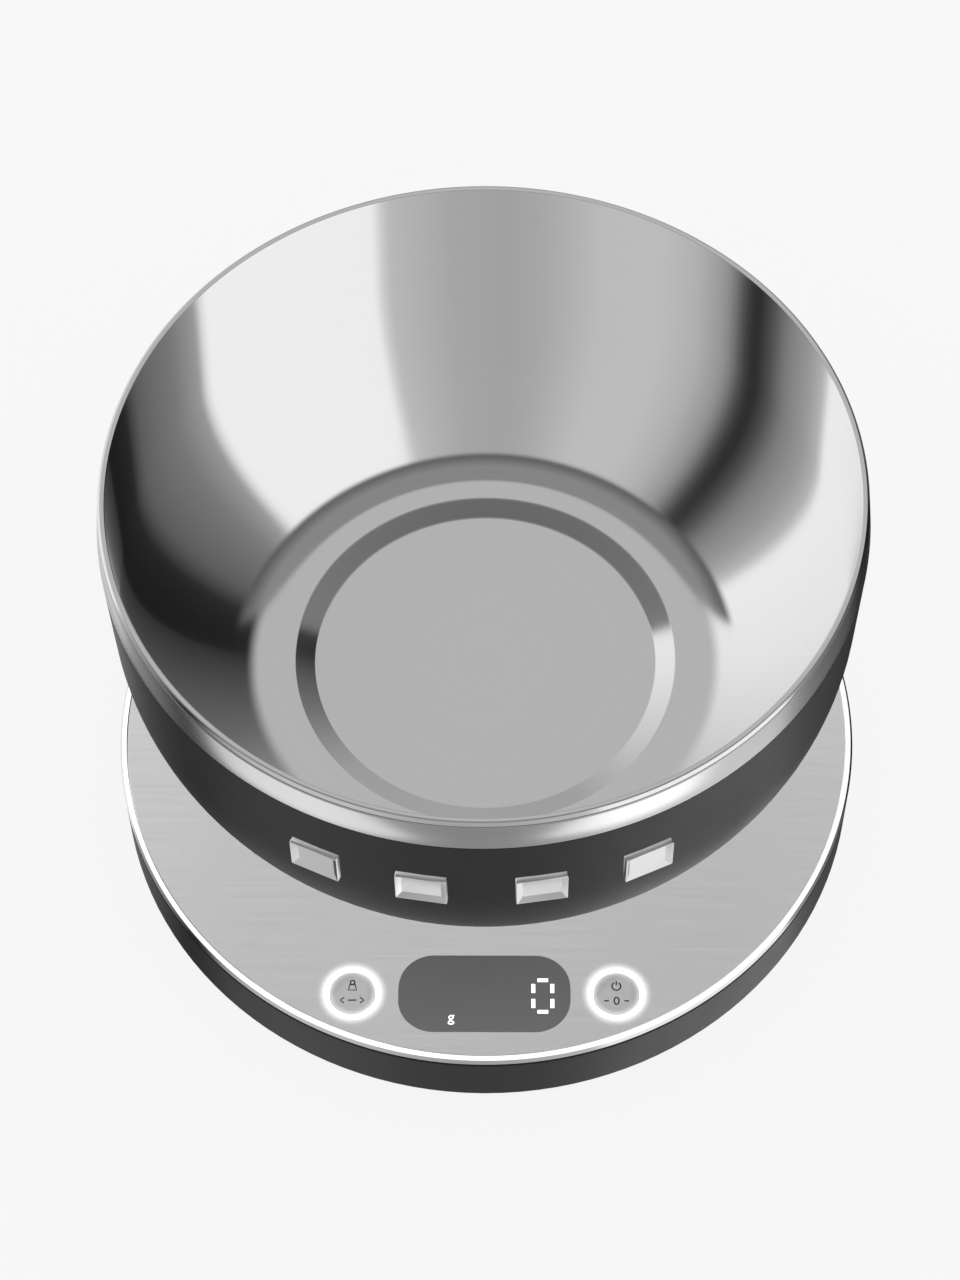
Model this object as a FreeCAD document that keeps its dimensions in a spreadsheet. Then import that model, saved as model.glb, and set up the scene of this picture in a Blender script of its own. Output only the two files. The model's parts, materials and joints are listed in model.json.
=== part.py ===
"""A round electronic kitchen scale: a black base, a floating steel platform with a lit display and two keys,
and a footed steel bowl that lifts off.  Millimetres, +Z up, the origin on the table under the middle of the base,
the display towards -Y."""

import FreeCAD, Part
import math
import os

import Sketcher
from FreeCAD import Placement, Rotation, Vector

PLATE_AXIS = Vector(0, 0, 1)
ALONG_X = Rotation(Vector(0, 1, 0), 90)
ALONG_Y = Rotation(Vector(1, 0, 0), -90)

# What a designer would change.  Everything else is worked out from these.
DRIVING = {
    # base
    "base_radius": 105.0,
    "ground_gap": 2.0,
    "skirt_wall": 2.0,
    "skirt_fillet": 1.2,
    "flange_width": 11.0,
    "flange_thickness": 2.0,
    "floor_thickness": 2.8,
    "rim_wall": 2.2,
    "rim_wall_height": 3.3,
    "tray_clearance": 0.2,
    "tray_screw_inset": 9.0,
    "tray_pillar_radius": 4.0,
    "tray_screw_radius": 1.5,
    "tray_screw_head_radius": 2.9,
    "tray_screw_head": 1.4,
    "foot_inset": 20.0,
    "rubber_foot_radius": 8.0,
    "rubber_foot_seat": 1.0,
    "rubber_foot_chamfer": 0.8,
    "fit_gap": 0.1,
    "screw_gap": 0.05,
    # weighing
    "cell_length": 80.0,
    "cell_side": 12.7,
    "cell_plate_thickness": 1.0,
    "cell_plate_overhang": 2.0,
    "spacer_thickness": 1.6,
    "cell_hole_inset": 5.0,
    "cell_hole_pitch": 13.0,
    "cell_screw_radius": 1.95,
    "cell_screw_head_radius": 3.5,
    "cell_screw_head": 1.5,
    "cell_screw_length": 9.0,
    "flexure_hole_radius": 4.6,
    "flexure_hole_offset": 8.0,
    "flexure_slot": 2.4,
    "gauge_cover_length": 26.0,
    "gauge_cover_thickness": 0.6,
    "press_travel": 0.6,
    "stop_circle_inset": 27.0,
    "stop_angle": 15.0,
    "stop_radius": 2.0,
    "stop_cap_radius": 3.2,
    "stop_cap_height": 1.4,
    "stop_pillar_radius": 3.8,
    "stop_pillar_height": 10.0,
    "stop_depth": 6.0,
    # platform
    "float_gap": 0.8,
    "carrier_thickness": 2.5,
    "carrier_lip_wall": 2.0,
    "carrier_lip_height": 4.2,
    "carrier_side_gap": 0.7,
    "plate_thickness": 0.9,
    "trim_width": 2.0,
    "trim_height": 1.9,
    "trim_rise": 0.1,
    "trim_round": 0.85,
    "trim_flange": 1.9,
    "trim_flange_thickness": 0.85,
    "display_length": 47.0,
    "display_width": 23.0,
    "display_corner": 9.6,
    "lens_thickness": 1.2,
    "lens_flange": 1.1,
    "lens_flange_thickness": 1.2,
    "led_length": 45.0,
    "led_width": 19.0,
    "led_height": 5.4,
    "board_thickness": 1.6,
    "board_side": 46.5,
    "board_front": 12.0,
    "board_back": 17.0,
    "board_edge_gap": 1.0,
    "boss_radius": 2.4,
    "board_screw_radius": 1.1,
    "board_screw_head_radius": 2.2,
    "board_screw_head": 1.3,
    "board_screw_bite": 3.0,
    # keys
    "key_spacing": 36.15,
    "key_edge_gap": 1.6,
    "key_radius": 6.35,
    "key_proud": 0.2,
    "key_top": 1.4,
    "key_wall": 1.05,
    "key_travel": 0.5,
    "key_flange": 0.85,
    "key_flange_thickness": 0.8,
    "key_stem_radius": 1.8,
    "ring_inner_gap": 0.15,
    "ring_wall": 1.1,
    "ring_flange": 0.8,
    "ring_flange_thickness": 1.3,
    "ring_length": 5.3,
    "switch_side": 6.0,
    "switch_height": 3.6,
    "plunger_radius": 1.7,
    "plunger_height": 0.7,
    "plunger_depth": 1.4,
    "led_chip_length": 1.6,
    "led_chip_width": 0.8,
    "led_chip_height": 0.7,
    # power
    "battery_radius": 5.25,
    "battery_body": 43.7,
    "battery_nub": 0.8,
    "battery_nub_radius": 1.9,
    "battery_pitch": 10.9,
    "battery_rest_gap": 0.3,
    "spring_length": 4.4,
    "spring_thickness": 0.35,
    "spring_width": 5.0,
    "contact_thickness": 0.4,
    "contact_side": 8.0,
    "well_wall": 2.0,
    "well_roof": 1.5,
    "well_ledge": 3.0,
    "well_offset": 38.0,
    "door_thickness": 2.0,
    "door_gap": 0.25,
    "door_roof_gap": 0.1,
    "hinge_radius": 0.8,
    "hinge_pin_radius": 0.6,
    "hinge_pin_length": 1.8,
    "hinge_pin_gap": 0.08,
    "hinge_sweep": 1.45,
    "grip_length": 16.0,
    "grip_width": 1.2,
    "grip_depth": 0.5,
    # control board and its leads
    "main_board_length": 34.0,
    "main_board_width": 34.0,
    "main_board_x": 53.5,
    "main_board_post": 4.0,
    "main_board_post_radius": 2.4,
    "main_board_inset": 3.5,
    "chip_side": 9.0,
    "chip_height": 1.2,
    "socket_length": 8.0,
    "socket_width": 4.5,
    "socket_height": 3.4,
    "lead_radius": 0.9,
    "lead_bend": 4.0,
    "lead_channel": 3.0,
    "ribbon_width": 4.0,
    "ribbon_thickness": 0.9,
    "ribbon_x": 43.2,
    "ribbon_seat": 1.9,
    # bowl
    "bowl_height": 122.5,
    "bowl_radius": 99.2,
    "bowl_flare": 0.6,
    "curve_radius": 63.0,
    "curve_height": 84.5,
    "bowl_floor_height": 39.0,
    "shell_thickness": 1.0,
    "jacket_thickness": 1.4,
    "bond_gap": 0.1,
    "floor_fillet": 19.5,
    "recess_radius": 52.8,
    "recess_slope": 5.8,
    "recess_depth": 1.5,
    "recess_fillet": 3.0,
    "jacket_hole_gap": 3.4,
    "lip_width": 2.0,
    "lip_height": 1.5,
    "lip_round": 0.7,
    "lip_groove": 0.15,
    "band_height": 8.7,
    "band_lean": 0.9,
    "band_fillet": 0.35,
    "badge_height": 11.0,
    "badge_angle": 7.4,
    "badge_depth": 1.9,
    "badge_level": 90.6,
    "badge_back_gap": 0.1,
    "badge_pin_radius": 0.8,
    "badge_pin_spread": 3.6,
    "badge_inner_azimuth": 8.6,
    "badge_outer_azimuth": 24.5,
    "pedestal_top_radius": 60.0,
    "pedestal_bottom_radius": 54.0,
    "pedestal_waist_radius": 45.0,
    "pedestal_wall": 4.4,
    "pedestal_top": 2.4,
    "pedestal_lift": 1.2,
    "pad_width": 1.9,
    "pad_depth": 1.1,
    "stud_circle": 35.0,
    "stud_radius": 2.4,
    "stud_bore_radius": 1.5,
    "pedestal_screw_head_radius": 4.5,
    "pedestal_screw_head": 1.6,
}
TRAY_SCREWS = 6
RUBBER_FEET = 4
STUDS = 3
RING_LEDS = 6

doc = FreeCAD.newDocument("KitchenScale")
sheet = doc.addObject("Spreadsheet::Sheet", "dims")
nodes = []


class Size:
    """A length in millimetres: its value, and the formula that the document keeps."""

    def __init__(self, formula, value):
        self.formula = formula
        self.value = value

    def __add__(self, other):
        other = size(other)
        return Size(f"({self.formula} + {other.formula})", self.value + other.value)

    def __sub__(self, other):
        other = size(other)
        return Size(f"({self.formula} - {other.formula})", self.value - other.value)

    def __mul__(self, other):
        other = size(other)
        return Size(f"({self.formula} * {other.formula})", self.value * other.value)

    def __truediv__(self, other):
        other = size(other)
        return Size(f"({self.formula} / {other.formula})", self.value / other.value)

    def __neg__(self):
        return Size(f"(0 - {self.formula})", -self.value)

    __radd__ = __add__
    __rmul__ = __mul__


def size(number):
    """A Size for a plain number, or the Size itself."""
    return number if isinstance(number, Size) else Size(f"{number:.9g}", float(number))


def root(square):
    """The square root of a Size."""
    return Size(f"sqrt({square.formula})", math.sqrt(square.value))


class Sizes:
    """The sheet's driving dimensions by name, and the levels and radii worked out from them."""


def fill_sheet():
    """Writes the driving dimensions into the sheet and returns them as Sizes."""
    found = Sizes()
    for row, (alias, value) in enumerate(DRIVING.items(), 1):
        sheet.set(f"A{row}", alias)
        sheet.set(f"B{row}", str(value))
        sheet.setAlias(f"B{row}", alias)
        setattr(found, alias, Size(f"dims.{alias}", value))
    doc.recompute()
    return found


def bind(thing, **properties):
    """Sets properties from Sizes, each with its formula."""
    for name, value in properties.items():
        setattr(thing, name, size(value).value)
        thing.setExpression(name, size(value).formula)


def place(thing, x=0, y=0, z=0, turn=Rotation()):
    """Puts a thing at a point, each coordinate bound to its formula."""
    x, y, z = size(x), size(y), size(z)
    thing.Placement = Placement(Vector(x.value, y.value, z.value), turn)
    for axis, value in zip("xyz", (x, y, z)):
        thing.setExpression(f"Placement.Base.{axis}", value.formula)
    return thing


def node(thing, label):
    """Marks a finished thing as a sub-part, whose label names its file."""
    thing.Label = label
    nodes.append(thing)
    return thing


# Part primitives and booleans


def rod(radius, length, x=0, y=0, z=0, turn=Rotation()):
    """A cylinder that starts at a point and runs along +Z, or along the turned Z."""
    thing = doc.addObject("Part::Cylinder", "rod")
    bind(thing, Radius=radius, Height=length)
    return place(thing, x, y, z, turn)


def block(length, width, height, x=0, y=0, z=0):
    """A box centred on x and y that stands on z."""
    thing = doc.addObject("Part::Box", "block")
    bind(thing, Length=length, Width=width, Height=height)
    return place(thing, size(x) - size(length) / 2, size(y) - size(width) / 2, z)


def fuse(*things):
    """One solid from things that meet."""
    made = doc.addObject("Part::MultiFuse", "fuse")
    made.Shapes = list(things)
    return made


def cut(base, *tools):
    """The base with every tool taken away."""
    made = doc.addObject("Part::Cut", "cut")
    made.Base = base
    made.Tool = fuse(*tools) if len(tools) > 1 else tools[0]
    return made


def together(*things):
    """Separate solids that share one sub-part."""
    made = doc.addObject("Part::Compound", "group")
    made.Links = list(things)
    return made


# Sketches and PartDesign features


def origin_plane(body, role):
    return next(feature for feature in body.Origin.OriginFeatures if feature.Role == role)


def new_sketch(body, role, offset=0):
    """An empty sketch on one of the body's origin planes, moved along the plane's normal."""
    sketch = body.newObject("Sketcher::SketchObject", "sketch")
    sketch.AttachmentSupport = (origin_plane(body, role), [""])
    sketch.MapMode = "FlatFace"
    offset = size(offset)
    sketch.AttachmentOffset = Placement(Vector(0, 0, offset.value), Rotation())
    sketch.setExpression("AttachmentOffset.Base.z", offset.formula)
    return sketch


def hold(sketch, kind, *where):
    """Adds a constraint whose last entry is a Size, and binds it."""
    value = size(where[-1])
    index = sketch.addConstraint(Sketcher.Constraint(kind, *where[:-1], value.value))
    sketch.setExpression(f"Constraints[{index}]", value.formula)


def hold_point(sketch, edge, end, x, y):
    """Fixes one end of an edge at a point measured from the sketch's origin."""
    for kind, axis, value in (("DistanceX", -2, size(x)), ("DistanceY", -1, size(y))):
        if value.formula == "0":
            sketch.addConstraint(Sketcher.Constraint("PointOnObject", edge, end, axis))
        else:
            hold(sketch, kind, -1, 1, edge, end, value)


def arc_between(start, end, radius):
    """The arc of a radius from start to end.  It bends left for a positive radius and right for a negative one."""
    chord = end - start
    middle = (start + end) * 0.5
    left = Vector(-chord.y, chord.x, 0).normalize()
    sagitta_side = math.sqrt(max(radius * radius - (chord.Length / 2) ** 2, 0.0))
    turn = 1 if radius > 0 else -1
    centre = middle + left * (sagitta_side * turn)
    crown = centre - left * (abs(radius) * turn)
    return Part.Arc(start, crown, end)


def draw(sketch, corners, closed=True):
    """Draws an outline, or an open path.  A corner is (x, y), or (x, y, radius) where an arc leads on from it."""
    points = [Vector(size(c[0]).value, size(c[1]).value, 0) for c in corners]
    count = len(corners) if closed else len(corners) - 1
    for i, corner in enumerate(corners[:count]):
        start, end = points[i], points[(i + 1) % len(points)]
        if len(corner) == 3:
            sketch.addGeometry(arc_between(start, end, size(corner[2]).value))
        else:
            sketch.addGeometry(Part.LineSegment(start, end))
    ends = [edge_ends(sketch, i, points[i]) for i in range(count)]
    for i in range(count if closed else count - 1):
        follower = (i + 1) % count
        joint = (i, ends[i][1], follower, ends[follower][0])
        sketch.addConstraint(Sketcher.Constraint("Coincident", *joint))
    for i, corner in enumerate(corners[:count]):
        hold_point(sketch, i, ends[i][0], corner[0], corner[1])
        if len(corner) == 3:
            radius = size(corner[2])
            hold(sketch, "Radius", i, radius if radius.value > 0 else -radius)
    if not closed:
        hold_point(sketch, count - 1, ends[-1][1], *corners[-1][:2])


def edge_ends(sketch, edge, start):
    """Which ends of an edge are its start and its end, because an arc is kept anticlockwise."""
    begins = (sketch.getPoint(edge, 1) - start).Length < (sketch.getPoint(edge, 2) - start).Length
    return (1, 2) if begins else (2, 1)


def circles(body, z, radius, centres):
    """A horizontal sketch with a circle at each centre."""
    sketch = new_sketch(body, "XY_Plane", z)
    for x, y in centres:
        centre = Vector(size(x).value, size(y).value, 0)
        edge = sketch.addGeometry(Part.Circle(centre, PLATE_AXIS, size(radius).value))
        hold_point(sketch, edge, 3, x, y)
        hold(sketch, "Radius", edge, radius)
    return sketch


def rectangle(body, z, x, y, length, width):
    """A horizontal sketch of a rectangle centred on a point."""
    sketch = new_sketch(body, "XY_Plane", z)
    right, top = size(length) / 2, size(width) / 2
    x, y = size(x), size(y)
    draw(sketch, [(x - right, y - top), (x + right, y - top), (x + right, y + top), (x - right, y + top)])
    return sketch


def pill(body, z, y, length, width, corner):
    """A horizontal sketch of a round-cornered rectangle centred on x = 0."""
    sketch = new_sketch(body, "XY_Plane", z)
    right, top = size(length) / 2, size(width) / 2
    inner_x, inner_y = right - corner, top - corner
    draw(
        sketch,
        [
            (-inner_x, y - top),
            (inner_x, y - top, corner),
            (right, y - inner_y),
            (right, y + inner_y, corner),
            (inner_x, y + top),
            (-inner_x, y + top, corner),
            (-right, y + inner_y),
            (-right, y - inner_y, corner),
        ],
    )
    return sketch


def pad(body, sketch, length):
    """Material from the sketch along its normal."""
    made = body.newObject("PartDesign::Pad", "pad")
    made.Profile = sketch
    bind(made, Length=length)
    sketch.Visibility = False
    return made


def pocket(body, sketch, length, up=False):
    """A cut from the sketch against its normal, or along it when up is set."""
    made = body.newObject("PartDesign::Pocket", "pocket")
    made.Profile = sketch
    made.Reversed = up
    bind(made, Length=length)
    return made


def turned(label, corners, angle=360):
    """A body turned about Z from an outline of radii and heights."""
    body = doc.addObject("PartDesign::Body", label)
    sketch = new_sketch(body, "XZ_Plane")
    draw(sketch, corners)
    made = body.newObject("PartDesign::Revolution", "turn")
    made.Profile = sketch
    made.ReferenceAxis = (sketch, ["V_Axis"])
    made.Midplane = angle != 360
    bind(made, Angle=angle)
    return body


def rounded(body, kind, radius, rings):
    """Fillets or chamfers the circular edges of the body that have these radii and heights."""
    doc.recompute()
    wanted = [(size(r).value, size(z).value) for r, z in rings]
    names = []
    for number, edge in enumerate(body.Tip.Shape.Edges, 1):
        if isinstance(edge.Curve, Part.Circle):
            ring = (edge.Curve.Radius, edge.Curve.Center.z)
            if any(abs(ring[0] - r) < 1e-4 and abs(ring[1] - z) < 1e-4 for r, z in wanted):
                names.append(f"Edge{number}")
    if len(names) < len(wanted):
        raise ValueError(f"{body.Label}: {len(names)} of {len(wanted)} edges were found")
    before = body.Tip
    made = body.newObject(f"PartDesign::{kind}", kind.lower())
    made.Base = (before, names)
    bind(made, **{"Radius" if kind == "Fillet" else "Size": radius})
    return made


def around(count, radius, start=0.0):
    """Points evenly spaced round Z on a circle, the first at an angle in degrees from +X."""
    radius = size(radius)
    points = []
    for i in range(count):
        angle = math.radians(start + 360.0 * i / count)
        points.append((radius * round(math.cos(angle), 9), radius * round(math.sin(angle), 9)))
    return points


def screw(x, y, seat, shank_radius, shank, head_radius, head, up=True):
    """A screw whose head's underside is at seat, with its shank going up or down."""
    if up:
        return fuse(rod(shank_radius, shank, x, y, seat), rod(head_radius, head, x, y, seat - head))
    return fuse(rod(shank_radius, shank, x, y, seat - shank), rod(head_radius, head, x, y, seat))


def lead(label, path, level, radius):
    """A round wire swept along a level path that sets off along +Y."""
    body = doc.addObject("PartDesign::Body", label)
    spine = new_sketch(body, "XY_Plane", level)
    draw(spine, path, closed=False)
    section = new_sketch(body, "XZ_Plane", -size(path[0][1]))
    edge = section.addGeometry(Part.Circle(Vector(size(path[0][0]).value, level.value, 0), PLATE_AXIS, radius.value))
    hold_point(section, edge, 3, path[0][0], level)
    hold(section, "Radius", edge, radius)
    made = body.newObject("PartDesign::AdditivePipe", "pipe")
    made.Profile = section
    made.Spine = (spine, [f"Edge{i + 1}" for i in range(spine.GeometryCount)])
    return body


# Worked out from the driving dimensions


def work_out(d):
    """Adds the levels and radii that several pieces share."""
    d.floor_top = d.ground_gap + d.floor_thickness
    d.cell_bottom = d.floor_top + d.cell_plate_thickness
    d.cell_top = d.cell_bottom + d.cell_side
    d.carrier_bottom = d.cell_top + d.spacer_thickness
    d.carrier_top = d.carrier_bottom + d.carrier_thickness
    d.plate_top = d.carrier_top + d.plate_thickness
    d.trim_top = d.plate_top + d.trim_rise
    d.trim_bottom = d.trim_top - d.trim_height
    d.skirt_top = d.trim_bottom - d.float_gap
    d.skirt_inner = d.base_radius - d.skirt_wall
    d.tray_radius = d.skirt_inner - d.tray_clearance
    d.flange_bottom = d.floor_top + d.rim_wall_height + d.tray_clearance
    d.flange_top = d.flange_bottom + d.flange_thickness
    d.tray_screw_circle = d.base_radius - d.tray_screw_inset
    d.foot_circle = d.base_radius - d.foot_inset
    d.stop_circle = d.base_radius - d.stop_circle_inset
    d.trim_inner = d.base_radius - d.trim_width
    d.plate_radius = d.trim_inner - d.fit_gap
    d.trim_flange_inner = d.trim_inner - d.trim_flange
    d.carrier_radius = d.skirt_inner - d.carrier_side_gap
    d.carrier_shoulder = d.trim_flange_inner - d.fit_gap
    d.lip_outer = d.carrier_radius - d.fit_gap * 8
    d.lip_inner = d.lip_outer - d.carrier_lip_wall
    d.ring_inner = d.key_radius + d.ring_inner_gap
    d.ring_outer = d.ring_inner + d.ring_wall
    key_circle = d.trim_flange_inner - d.ring_outer - d.key_edge_gap
    d.row = -root(key_circle * key_circle - d.key_spacing * d.key_spacing)
    d.ring_bottom = d.plate_top - d.ring_length
    d.ring_flange_bottom = d.carrier_top - d.ring_flange_thickness
    d.lens_flange_bottom = d.carrier_top - d.lens_flange_thickness
    d.switch_seat = d.ring_bottom - d.key_flange_thickness - d.fit_gap * 18
    d.board_bottom = d.switch_seat - d.board_thickness
    d.switch_top = d.switch_seat + d.switch_height
    d.battery_bottom = d.ground_gap + d.door_thickness + d.battery_rest_gap
    d.battery_level = d.battery_bottom + d.battery_radius
    d.well_ceiling = d.battery_level + d.battery_radius + d.battery_rest_gap
    battery = d.battery_body + d.battery_nub
    d.well_length = battery + d.spring_length + d.contact_thickness * 2 + d.fit_gap * 2
    d.well_width = d.battery_pitch * 2 + d.battery_radius * 2 + d.battery_rest_gap * 2
    d.hinge_y = d.well_offset + d.well_width / 2 + d.well_ledge
    d.door_front = d.well_offset - d.well_width / 2 - d.well_ledge
    d.door_length = d.well_length + d.well_ledge * 2
    d.hinge_z = d.ground_gap + d.door_thickness - d.hinge_radius
    d.main_board_bottom = d.floor_top + d.main_board_post
    d.main_board_top = d.main_board_bottom + d.board_thickness
    d.ribbon_level = d.main_board_top + d.ribbon_seat
    d.bowl_top = d.plate_top + d.bowl_height
    d.curve_level = d.plate_top + d.curve_height
    d.curve_axis = d.bowl_radius - d.curve_radius
    d.bowl_floor = d.plate_top + d.bowl_floor_height
    d.jacket_inner = d.bowl_radius - d.jacket_thickness
    d.shell_outer = d.jacket_inner - d.bond_gap
    d.shell_inner = d.shell_outer - d.shell_thickness
    d.shell_floor = d.bowl_floor - d.shell_thickness
    d.jacket_floor_top = d.shell_floor - d.bond_gap
    d.jacket_floor = d.jacket_floor_top - d.jacket_thickness
    d.band_top = d.bowl_top - d.lip_height - d.lip_groove
    d.band_bottom = d.band_top - d.band_height
    d.band_radius = d.bowl_radius + d.bowl_flare
    d.badge_z = d.plate_top + d.badge_level
    d.pedestal_top_level = d.jacket_floor - d.fit_gap
    d.pedestal_bottom = d.plate_top + d.pedestal_lift
    d.pad_radius = d.pedestal_bottom_radius - d.pedestal_wall / 2
    return d


d = work_out(fill_sheet())


def on_curve(radius, level):
    """The radius from Z of a curve of the bowl's corner, of a given radius, at a level below the curve's axis."""
    drop = d.curve_level - level
    return d.curve_axis + root(radius * radius - drop * drop)


# The base


def skirt_ring():
    """The black outer wall, with an inner flange that the tray is screwed to."""
    inner = d.skirt_inner - d.flange_width
    body = turned(
        "skirt_ring",
        [
            (d.skirt_inner, d.ground_gap),
            (d.base_radius, d.ground_gap),
            (d.base_radius, d.skirt_top),
            (d.skirt_inner, d.skirt_top),
            (d.skirt_inner, d.flange_top),
            (inner, d.flange_top),
            (inner, d.flange_bottom),
            (d.skirt_inner, d.flange_bottom),
        ],
    )
    rounded(body, "Fillet", d.skirt_fillet, [(d.base_radius, d.ground_gap)])
    rounded(body, "Fillet", d.skirt_fillet / 3, [(d.base_radius, d.skirt_top)])
    hole = d.tray_screw_radius + d.screw_gap
    spots = around(TRAY_SCREWS, d.tray_screw_circle, 30)
    pocket(body, circles(body, d.flange_top, hole, spots), d.flange_thickness)
    return node(body, "skirt_ring")


def cell_holes(side):
    """The two screw places at one end of the load cell: side is -1 for the fixed end and 1 for the free end."""
    outer = d.cell_length / 2 - d.cell_hole_inset
    return [(outer * side, 0), ((outer - d.cell_hole_pitch) * side, 0)]


def stop_spots():
    """Four places for the overload stops, two on each side."""
    turn = d.stop_angle.value
    return [around(1, d.stop_circle, angle)[0] for angle in (turn, 180 - turn, 180 + turn, -turn)]


def main_board_spots():
    """The four posts of the main board."""
    side = d.main_board_length / 2 - d.main_board_inset
    end = d.main_board_width / 2 - d.main_board_inset
    return [(d.main_board_x + side * i, d.well_offset + end * j) for i in (-1, 1) for j in (-1, 1)]


def bottom_tray():
    """The floor of the base, with the battery well, pillars, posts and screw holes."""
    body = turned(
        "tray",
        [
            (0, d.ground_gap),
            (d.tray_radius, d.ground_gap),
            (d.tray_radius, d.floor_top + d.rim_wall_height),
            (d.tray_radius - d.rim_wall, d.floor_top + d.rim_wall_height),
            (d.tray_radius - d.rim_wall, d.floor_top),
            (0, d.floor_top),
        ],
    )
    screws = around(TRAY_SCREWS, d.tray_screw_circle, 30)
    pillar = d.flange_bottom - d.floor_top
    pad(body, circles(body, d.floor_top, d.tray_pillar_radius, screws), pillar)
    pad(body, circles(body, d.floor_top, d.stop_pillar_radius, stop_spots()), d.stop_pillar_height)
    posts = circles(body, d.floor_top, d.main_board_post_radius, main_board_spots())
    pad(body, posts, d.main_board_post)
    outside_length = d.well_length + d.well_wall * 2
    outside_width = d.well_width + d.well_wall * 2
    well = rectangle(body, d.floor_top, 0, d.well_offset, outside_length, outside_width)
    pad(body, well, d.well_ceiling + d.well_roof - d.floor_top)

    under = d.ground_gap
    cavity = rectangle(body, under, 0, d.well_offset, d.well_length, d.well_width)
    pocket(body, cavity, d.well_ceiling - under, up=True)
    front = d.door_front - d.door_gap
    back = d.hinge_y + d.hinge_sweep
    opening = rectangle(body, under, 0, (front + back) / 2, d.door_length + d.door_gap * 2, back - front)
    pocket(body, opening, d.door_thickness + d.door_roof_gap, up=True)
    seat = d.rubber_foot_radius + d.fit_gap
    feet = circles(body, under, seat, around(RUBBER_FEET, d.foot_circle, 45))
    pocket(body, feet, d.rubber_foot_seat, up=True)
    through = d.flange_bottom - under
    hole = d.tray_screw_radius + d.screw_gap
    pocket(body, circles(body, under, hole, screws), through, up=True)
    head = d.tray_screw_head_radius + d.fit_gap * 2
    pocket(body, circles(body, under, head, screws), d.tray_screw_head, up=True)
    cell_hole = d.cell_screw_radius + d.screw_gap
    pocket(body, circles(body, under, cell_hole, cell_holes(-1)), d.floor_thickness, up=True)
    head = d.cell_screw_head_radius + d.fit_gap * 2
    pocket(body, circles(body, under, head, cell_holes(-1)), d.cell_screw_head, up=True)
    stop_hole = circles(body, d.floor_top + d.stop_pillar_height, d.stop_radius + d.screw_gap, stop_spots())
    pocket(body, stop_hole, d.stop_depth)

    pins = d.door_length + (d.door_gap + d.hinge_pin_length) * 2
    bore = rod(d.hinge_pin_radius + d.hinge_pin_gap, pins, -(pins / 2), d.hinge_y, d.hinge_z, ALONG_X)
    return node(cut(body, bore), "bottom_tray")


def tray_screws():
    """Six screws up through the tray into the skirt's flange."""
    seat = d.ground_gap + d.tray_screw_head
    shank = d.flange_top - seat
    made = [
        screw(x, y, seat, d.tray_screw_radius, shank, d.tray_screw_head_radius, d.tray_screw_head)
        for x, y in around(TRAY_SCREWS, d.tray_screw_circle, 30)
    ]
    return node(together(*made), "tray_screws")


def rubber_feet():
    """Four soft feet glued into the tray's seats."""
    made = []
    for x, y in around(RUBBER_FEET, d.foot_circle, 45):
        top = d.ground_gap + d.rubber_foot_seat
        body = turned("foot", [(0, 0), (d.rubber_foot_radius, 0), (d.rubber_foot_radius, top), (0, top)])
        rounded(body, "Chamfer", d.rubber_foot_chamfer, [(d.rubber_foot_radius, 0)])
        made.append(place(body, x, y))
    return node(together(*made), "rubber_feet")


def load_cell():
    """The aluminium bending beam, thinned by a pair of holes joined by a slot, with tapped holes at its ends."""
    beam = block(d.cell_length, d.cell_side, d.cell_side, 0, 0, d.cell_bottom)
    middle = d.cell_bottom + d.cell_side / 2
    across = d.cell_side + d.fit_gap * 2
    tools = [block(d.flexure_hole_offset * 2, across, d.flexure_slot, 0, 0, middle - d.flexure_slot / 2)]
    for side in (-1, 1):
        x = d.flexure_hole_offset * side
        tools.append(rod(d.flexure_hole_radius, across, x, -(across / 2), middle, ALONG_Y))
        for hole_x, hole_y in cell_holes(side):
            radius = d.cell_screw_radius + d.screw_gap
            tools.append(rod(radius, across, hole_x, hole_y, d.cell_bottom - d.fit_gap))
    return node(cut(beam, *tools), "load_cell")


def gauge_covers():
    """Soft white covers over the strain gauges, above and below the flexure."""
    covers = [
        block(d.gauge_cover_length, d.cell_side - 1, d.gauge_cover_thickness, 0, 0, z)
        for z in (d.cell_top, d.cell_bottom - d.gauge_cover_thickness)
    ]
    return node(together(*covers), "gauge_covers")


def cell_pad(side, z, thickness, radius):
    """A drilled steel plate at one end of the load cell."""
    length = d.cell_hole_inset + d.cell_hole_pitch + d.cell_plate_overhang * 4
    x = (d.cell_length - length) / 2 + d.cell_plate_overhang
    holes = [rod(radius, thickness + d.fit_gap * 2, hx, hy, z - d.fit_gap) for hx, hy in cell_holes(side)]
    return cut(block(length, d.cell_side + d.cell_plate_overhang, thickness, x * side, 0, z), *holes)


def cell_pads():
    """The plate under the fixed end, and the spacer that carries the platform on the free end."""
    hole = d.cell_screw_radius + d.screw_gap
    node(cell_pad(-1, d.floor_top, d.cell_plate_thickness, hole), "cell_base_plate")
    node(cell_pad(1, d.cell_top, d.spacer_thickness, hole), "cell_spacer")


def cell_screws():
    """Two screws up into the fixed end, and two down through the carrier into the free end."""
    sizes = (d.cell_screw_radius, d.cell_screw_length, d.cell_screw_head_radius, d.cell_screw_head)
    seat = d.ground_gap + d.cell_screw_head
    lower = [screw(x, y, seat, *sizes) for x, y in cell_holes(-1)]
    node(together(*lower), "cell_screws_lower")
    seat = d.carrier_top - d.cell_screw_head - d.fit_gap * 3
    upper = [screw(x, y, seat, *sizes, up=False) for x, y in cell_holes(1)]
    node(together(*upper), "cell_screws_upper")


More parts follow.
